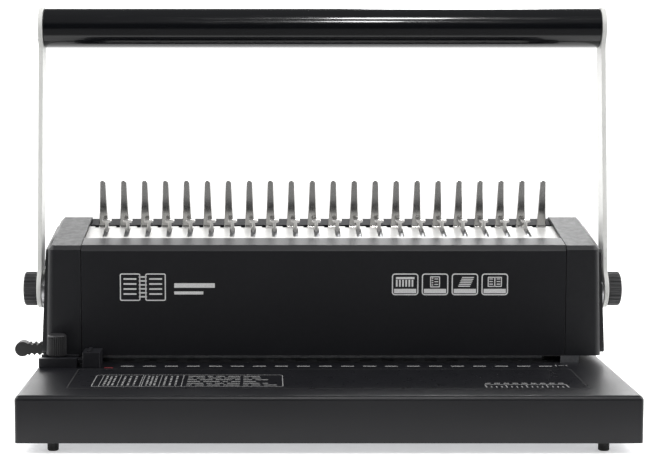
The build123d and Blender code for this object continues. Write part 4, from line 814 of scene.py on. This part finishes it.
def word_bars():
    """Lines of bars of uneven length, to the right of the last divider."""
    rows = []
    for k in range(LINES):
        y = BOX_Y0 + LINE_FOOT + k * LINE_PITCH
        x = DIVIDERS[-1] + LINE_MARGIN
        for word in range(WORDS - (k % 3)):
            length = SHORTEST_WORD + WORD_STEP * ((word * 5 + k * 3) % 4)
            if x + length > BOX_X1 - LINE_MARGIN:
                break
            rows.append((x, y, x + length, y + LINE_H))
            x += length + WORD_GAP
    return rows


def instruction_print():
    """A framed row of small pictures and bars for how to punch and bind, with no lettering."""
    low, high = BOX_Y0 + DIVIDER_GAP, BOX_Y1 - DIVIDER_GAP
    rows = [(x - DIVIDER_HALF, low, x + DIVIDER_HALF, high) for x in DIVIDERS]
    for index, (x0, x1) in enumerate(zip(DIVIDERS, DIVIDERS[1:])):
        if x1 - x0 >= NARROWEST_CELL:
            rows += picture_cell(index, x0, x1)
    outline = frame_print((BOX_X0, BOX_Y0, BOX_X1, BOX_Y1), BOX_LINE, BOX_CORNER, film_top)
    return [outline] + bars(rows + word_bars(), film_top)


RULER_X, RULER_Y = 96.0, -87.0
TICKS, TICK_PITCH, TICK_W, LONG_TICK, SHORT_TICK = 17, 3.1, 0.7, 7.5, 4.2
RULE_Y, RULE_W, RULE_LENGTH = -78.2, 0.8, 50.3
BLOCKS, BLOCK_X, BLOCK_Y, BLOCK_PITCH, BLOCK_W, BLOCK_H = 9, 97.0, -74.5, 5.6, 3.4, 1.7


def ruler_print():
    """A plain scale at the right of the base: ticks, a line over them and a row of small blocks."""
    rows = []
    for k in range(TICKS):
        x = RULER_X + TICK_PITCH * k
        rows.append((x, RULER_Y, x + TICK_W, RULER_Y + (LONG_TICK if k % 4 == 0 else SHORT_TICK)))
    rows.append((RULER_X, RULE_Y, RULER_X + RULE_LENGTH, RULE_Y + RULE_W))
    for k in range(BLOCKS):
        x = BLOCK_X + BLOCK_PITCH * k
        rows.append((x, BLOCK_Y, x + BLOCK_W, BLOCK_Y + BLOCK_H))
    return rows


piece("instruction_print", instruction_print(), grey_ink, "frame")
piece("ruler_print", bars(ruler_print(), film_top), grey_ink, "frame")
FILM_INSET, FILM_LINE = 0.6, 0.45
film_line = (-FILM_HALF + FILM_INSET, FILM_FRONT + FILM_INSET, FILM_HALF - FILM_INSET, FILM_BACK - FILM_INSET)
piece("film_outline", [frame_print(film_line, FILM_LINE, FILM_CORNER, film_top)], faint_ink, "frame")
END_TICKS = [(150.5, -15.2, 151.3, -10.2), (152.6, -13.2, 156.2, -12.3), (157.4, -14.2, 158.2, -11.2)]
piece("end_ticks", bars(END_TICKS, base_top), grey_ink, "frame")

front_face = facing_front(0, FRONT_Y)
BADGE_X, BADGE_PITCH, BADGE_W, BADGE_Z0, BADGE_Z1 = 44.6, 19.5, 17.3, 79.9, 94.2
BADGE_LINE, BADGE_CORNER, BADGE_INSET = 0.75, 2.0, 2.6
STRIP_INSET, STRIP_LOW, STRIP_HIGH, PICTURE_Z = 1.4, 1.3, 4.2, 5.2
THIN_LINE, SMALL_CORNER = 0.6, 0.5
TEETH, TOOTH_PITCH, TOOTH_W = 6, 2.05, 1.1


def stack(x0, x1, z, height, pitch, count, shift=0.0):
    """A column of bars from z up, each further to the right than the one below for a shift above 0."""
    return [(x0 + shift * k, z + pitch * k, x1 + shift * k, z + height + pitch * k) for k in range(count)]


def comb_picture(left, right, low):
    """A comb: its spine and its teeth."""
    starts = [left + TOOTH_PITCH * k for k in range(TEETH)]
    teeth = [(x, low + 0.4, x + TOOTH_W, low + 5.0) for x in starts]
    return [], [(left, low + 5.4, right, low + 6.8), *teeth]


def sheet_picture(left, right, low):
    """A sheet with its punched edge and a few lines."""
    middle = (left + right) / 2
    outline = frame_print((middle - 3.2, low, middle + 3.2, low + 7.2), THIN_LINE, SMALL_CORNER, front_face)
    holes = stack(middle - 2.2, middle - 1.2, low + 1.2, height=0.7, pitch=1.5, count=4)
    lines = stack(middle - 0.4, middle + 2.0, low + 1.6, height=0.6, pitch=1.8, count=3)
    return [outline], holes + lines


def pile_picture(left, right, low):
    """A leaning pile of sheets."""
    middle = (left + right) / 2
    return [], stack(middle - 4.4, middle + 3.4, low + 0.4, height=0.65, pitch=1.15, count=6, shift=0.5)


def book_picture(left, right, low):
    """A bound book, lying open."""
    middle = (left + right) / 2
    corners = (middle - 4.6, low + 0.3, middle + 4.6, low + 6.9)
    outline = frame_print(corners, THIN_LINE, SMALL_CORNER, front_face)
    spine = (middle - 0.35, low + 0.3, middle + 0.35, low + 6.9)
    right_page = stack(middle + 1.2, middle + 3.6, low + 1.8, height=0.6, pitch=1.7, count=3)
    left_page = stack(middle - 3.6, middle - 1.2, low + 1.8, height=0.6, pitch=1.7, count=3)
    return [outline], [spine, *right_page, *left_page]


PICTURES = (comb_picture, sheet_picture, pile_picture, book_picture)


def badge(index):
    """A rounded frame with a light strip along its foot and a small picture above it."""
    x = BADGE_X + index * BADGE_PITCH
    outline = frame_print((x, BADGE_Z0, x + BADGE_W, BADGE_Z1), BADGE_LINE, BADGE_CORNER, front_face)
    strip = (x + STRIP_INSET, BADGE_Z0 + STRIP_LOW, x + BADGE_W - STRIP_INSET, BADGE_Z0 + STRIP_HIGH)
    draw = PICTURES[index]
    parts, rows = draw(x + BADGE_INSET, x + BADGE_W - BADGE_INSET, BADGE_Z0 + PICTURE_Z)
    return [outline, *parts] + bars([strip, *rows], front_face)


badges = [part for index in range(len(PICTURES)) for part in badge(index)]
piece("front_badges", badges, white_ink, "frame")

MARK_X, MARK_Z, MARK_W, MARK_H = -133.0, 76.2, 30.0, 18.0
SPINE_HALF, RING_HALF, PAGE_LINE, PAGE_CORNER = 1.6, 2.6, 0.7, 1.2


def booklet_print():
    """A generic open booklet on a comb spine, with plain bars beside it."""
    x0, x1, z0, z1 = MARK_X, MARK_X + MARK_W, MARK_Z, MARK_Z + MARK_H
    middle = (x0 + x1) / 2
    pages = [(x0, z0, middle - SPINE_HALF, z1), (middle + SPINE_HALF, z0, x1, z1)]
    parts = [frame_print(page, PAGE_LINE, PAGE_CORNER, front_face) for page in pages]
    rows = stack(middle - RING_HALF, middle + RING_HALF, z0 + 2.2, height=1.0, pitch=2.6, count=6)
    for start, stop in ((x0 + 2.4, middle - 4.2), (middle + 4.2, x1 - 2.4)):
        rows += stack(start, stop, z0 + 4.0, height=1.0, pitch=3.3, count=4)
    beside = x1 + 5.5
    rows += [(beside, z0 + 8.6, beside + 26.5, z0 + 11.6), (beside, z0 + 4.2, beside + 19.0, z0 + 6.2)]
    return parts + bars(rows, front_face)


piece("booklet_mark", booklet_print(), white_ink, "frame")

# ---------------------------------------------------------------- floor, light and camera
FLOOR_HALF, FLOOR_BACK = 3.0, 0.95  # from here on, in metres
floor_mesh = bpy.data.meshes.new("floor")
floor_ring = rectangle(-FLOOR_HALF, -FLOOR_HALF, FLOOR_HALF, FLOOR_BACK)
floor_mesh.from_pydata([(x, y, 0) for x, y in floor_ring], [], [(0, 1, 2, 3)])
floor = bpy.data.objects.new("floor", floor_mesh)
scene.collection.objects.link(floor)
# The second grey is painted shade: the paper's tone in front of the machine.
PAPER, PAINTED_SHADE_PAPER, PAPER_ROUGHNESS = grey(0.9), grey(0.17), 0.7
# The floor's glow is painted light, since the floor is no lamp; the weaker glow near the base is a painted
# shadow.
PAINTED_SHADOW_GLOW, PAINTED_FLOOR_GLOW = 0.36, 0.45
PAINTED_SHADE_Y, PAINTED_SHADOW_X, PAINTED_SHADOW_Y = (-0.15, -0.25), (0.15, 0.24), (0.08, 0.16)  # where each fades in
floor_finish = Finish("floor_paper", PAPER, PAPER_ROUGHNESS, Specular_IOR_Level=0.2)
floor_place = floor_finish.node("ShaderNodeSeparateXYZ", {"Vector": floor_finish.space}).outputs


def fading(source, start, end):
    """0 up to start, rising smoothly to 1 at end. Both are metres on the floor."""
    wanted = {"Value": source, "From Min": start, "From Max": end, "To Min": 0.0, "To Max": 1.0}
    return floor_finish.node("ShaderNodeMapRange", wanted, interpolation_type="SMOOTHSTEP").outputs["Result"]


def away(axis, start, end):
    """0 nearer to the machine's middle than start along that axis, 1 beyond end."""
    reach = floor_finish.node("ShaderNodeMath", {0: floor_place[axis]}, operation="ABSOLUTE").outputs[0]
    return fading(reach, start, end)


# Painted shade: the paper is darker in front of the machine, where the black covers mirror it.
floor_finish.tint(fading(floor_place["Y"], *PAINTED_SHADE_Y), PAINTED_SHADE_PAPER)
floor_color = floor_finish.shader.inputs["Base Color"].links[0].from_socket
# Painted light: the floor glows in its own colour, and the glow is weaker near the base as a painted shadow
# under it.
floor_finish.links.new(floor_color, floor_finish.shader.inputs["Emission Color"])
apart = {0: away("X", *PAINTED_SHADOW_X), 1: away("Y", *PAINTED_SHADOW_Y)}
clear = floor_finish.node("ShaderNodeMath", apart, operation="MAXIMUM").outputs[0]
painted_glow = floor_finish.span(clear, 0, 1, PAINTED_SHADOW_GLOW, PAINTED_FLOOR_GLOW)
floor_finish.links.new(painted_glow, floor_finish.shader.inputs["Emission Strength"])
floor_mesh.materials.append(floor_finish.material)


def softbox(name, place, aim, width, height, watts, shape="RECTANGLE"):
    """An area light at place, in metres, that looks at aim."""
    light = bpy.data.lights.new(name, "AREA")
    light.shape, light.size, light.size_y, light.energy = shape, width, height, watts
    holder = bpy.data.objects.new(name, light)
    holder.location = place
    holder.rotation_euler = (Vector(aim) - Vector(place)).to_track_quat("-Z", "Y").to_euler()
    scene.collection.objects.link(holder)


GRIP, BASE_FRONT = (0.05, 0.05, 0.254), (0, -0.1, 0)
for end, sign in (("left", -1), ("right", 1)):
    softbox(f"side_{end}", (1.35 * sign, -0.3, 1.3), BASE_FRONT, 0.9, 0.9, 18)
# Three small lamps draw the long reflections on the grip.
softbox("front_high", (0.189, -1.068, 1.912), GRIP, 0.24, 0.26, 8, "ELLIPSE")
softbox("front_low", (0.136, -1.568, 1.429), GRIP, 0.16, 0.24, 4, "ELLIPSE")
softbox("back_high", (0.312, 1.643, 1.463), GRIP, 0.36, 0.5, 5, "ELLIPSE")

world = bpy.data.worlds.new("studio")
scene.world = world
world.use_nodes = True
sky, wires = world.node_tree.nodes, world.node_tree.links
background = sky["Background"]
background.inputs["Color"].default_value = (1, 1, 1, 1)


def ramp(source, low, high, out_low, out_high):
    """source, spread smoothly from low and high over out_low to out_high. Any of them can be a socket."""
    node = sky.new("ShaderNodeMapRange")
    node.interpolation_type = "SMOOTHSTEP"
    wires.new(source, node.inputs["Value"])
    for socket, value in (("From Min", low), ("From Max", high), ("To Min", out_low), ("To Max", out_high)):
        if isinstance(value, bpy.types.NodeSocket):
            wires.new(value, node.inputs[socket])
        else:
            node.inputs[socket].default_value = value
    return node.outputs["Result"]


# The directions' heights and depths run from -1 to 1. The back is a bright low band under a dim sky,
# the front is dark and grows lighter upwards, and the border between them moves with the height.
directions = sky.new("ShaderNodeSeparateXYZ")
wires.new(sky.new("ShaderNodeTexCoord").outputs["Generated"], directions.inputs[0])
height, depth = directions.outputs["Z"], directions.outputs["Y"]
BACK_FLOOR, BACK_BAND, BACK_SKY = 1.25, 4.5, 0.18
FRONT_LOW, FRONT_HIGH = 0.06, 0.3
back = ramp(height, 0.46, 0.6, ramp(height, 0.12, 0.26, BACK_FLOOR, BACK_BAND), BACK_SKY)
front = ramp(height, 0.3, 0.6, FRONT_LOW, FRONT_HIGH)
border_front = ramp(height, 0.2, 0.42, -0.62, -0.1)
border_back = ramp(height, 0.2, 0.42, 0.05, 0.5)
wires.new(ramp(depth, border_front, border_back, front, back), background.inputs["Strength"])

camera = bpy.data.objects.new("camera", bpy.data.cameras.new("camera"))
camera.location = (-0.03466, -1.06406, 0.22630)
CAMERA_TILT = 5.719  # degrees below level
camera.rotation_euler = (radians(90 - CAMERA_TILT), 0, 0)
camera.data.lens, camera.data.sensor_width, camera.data.shift_x = 89.75, 36.0, 0.0883
scene.collection.objects.link(camera)
scene.camera = camera
scene.view_settings.view_transform = "Standard"
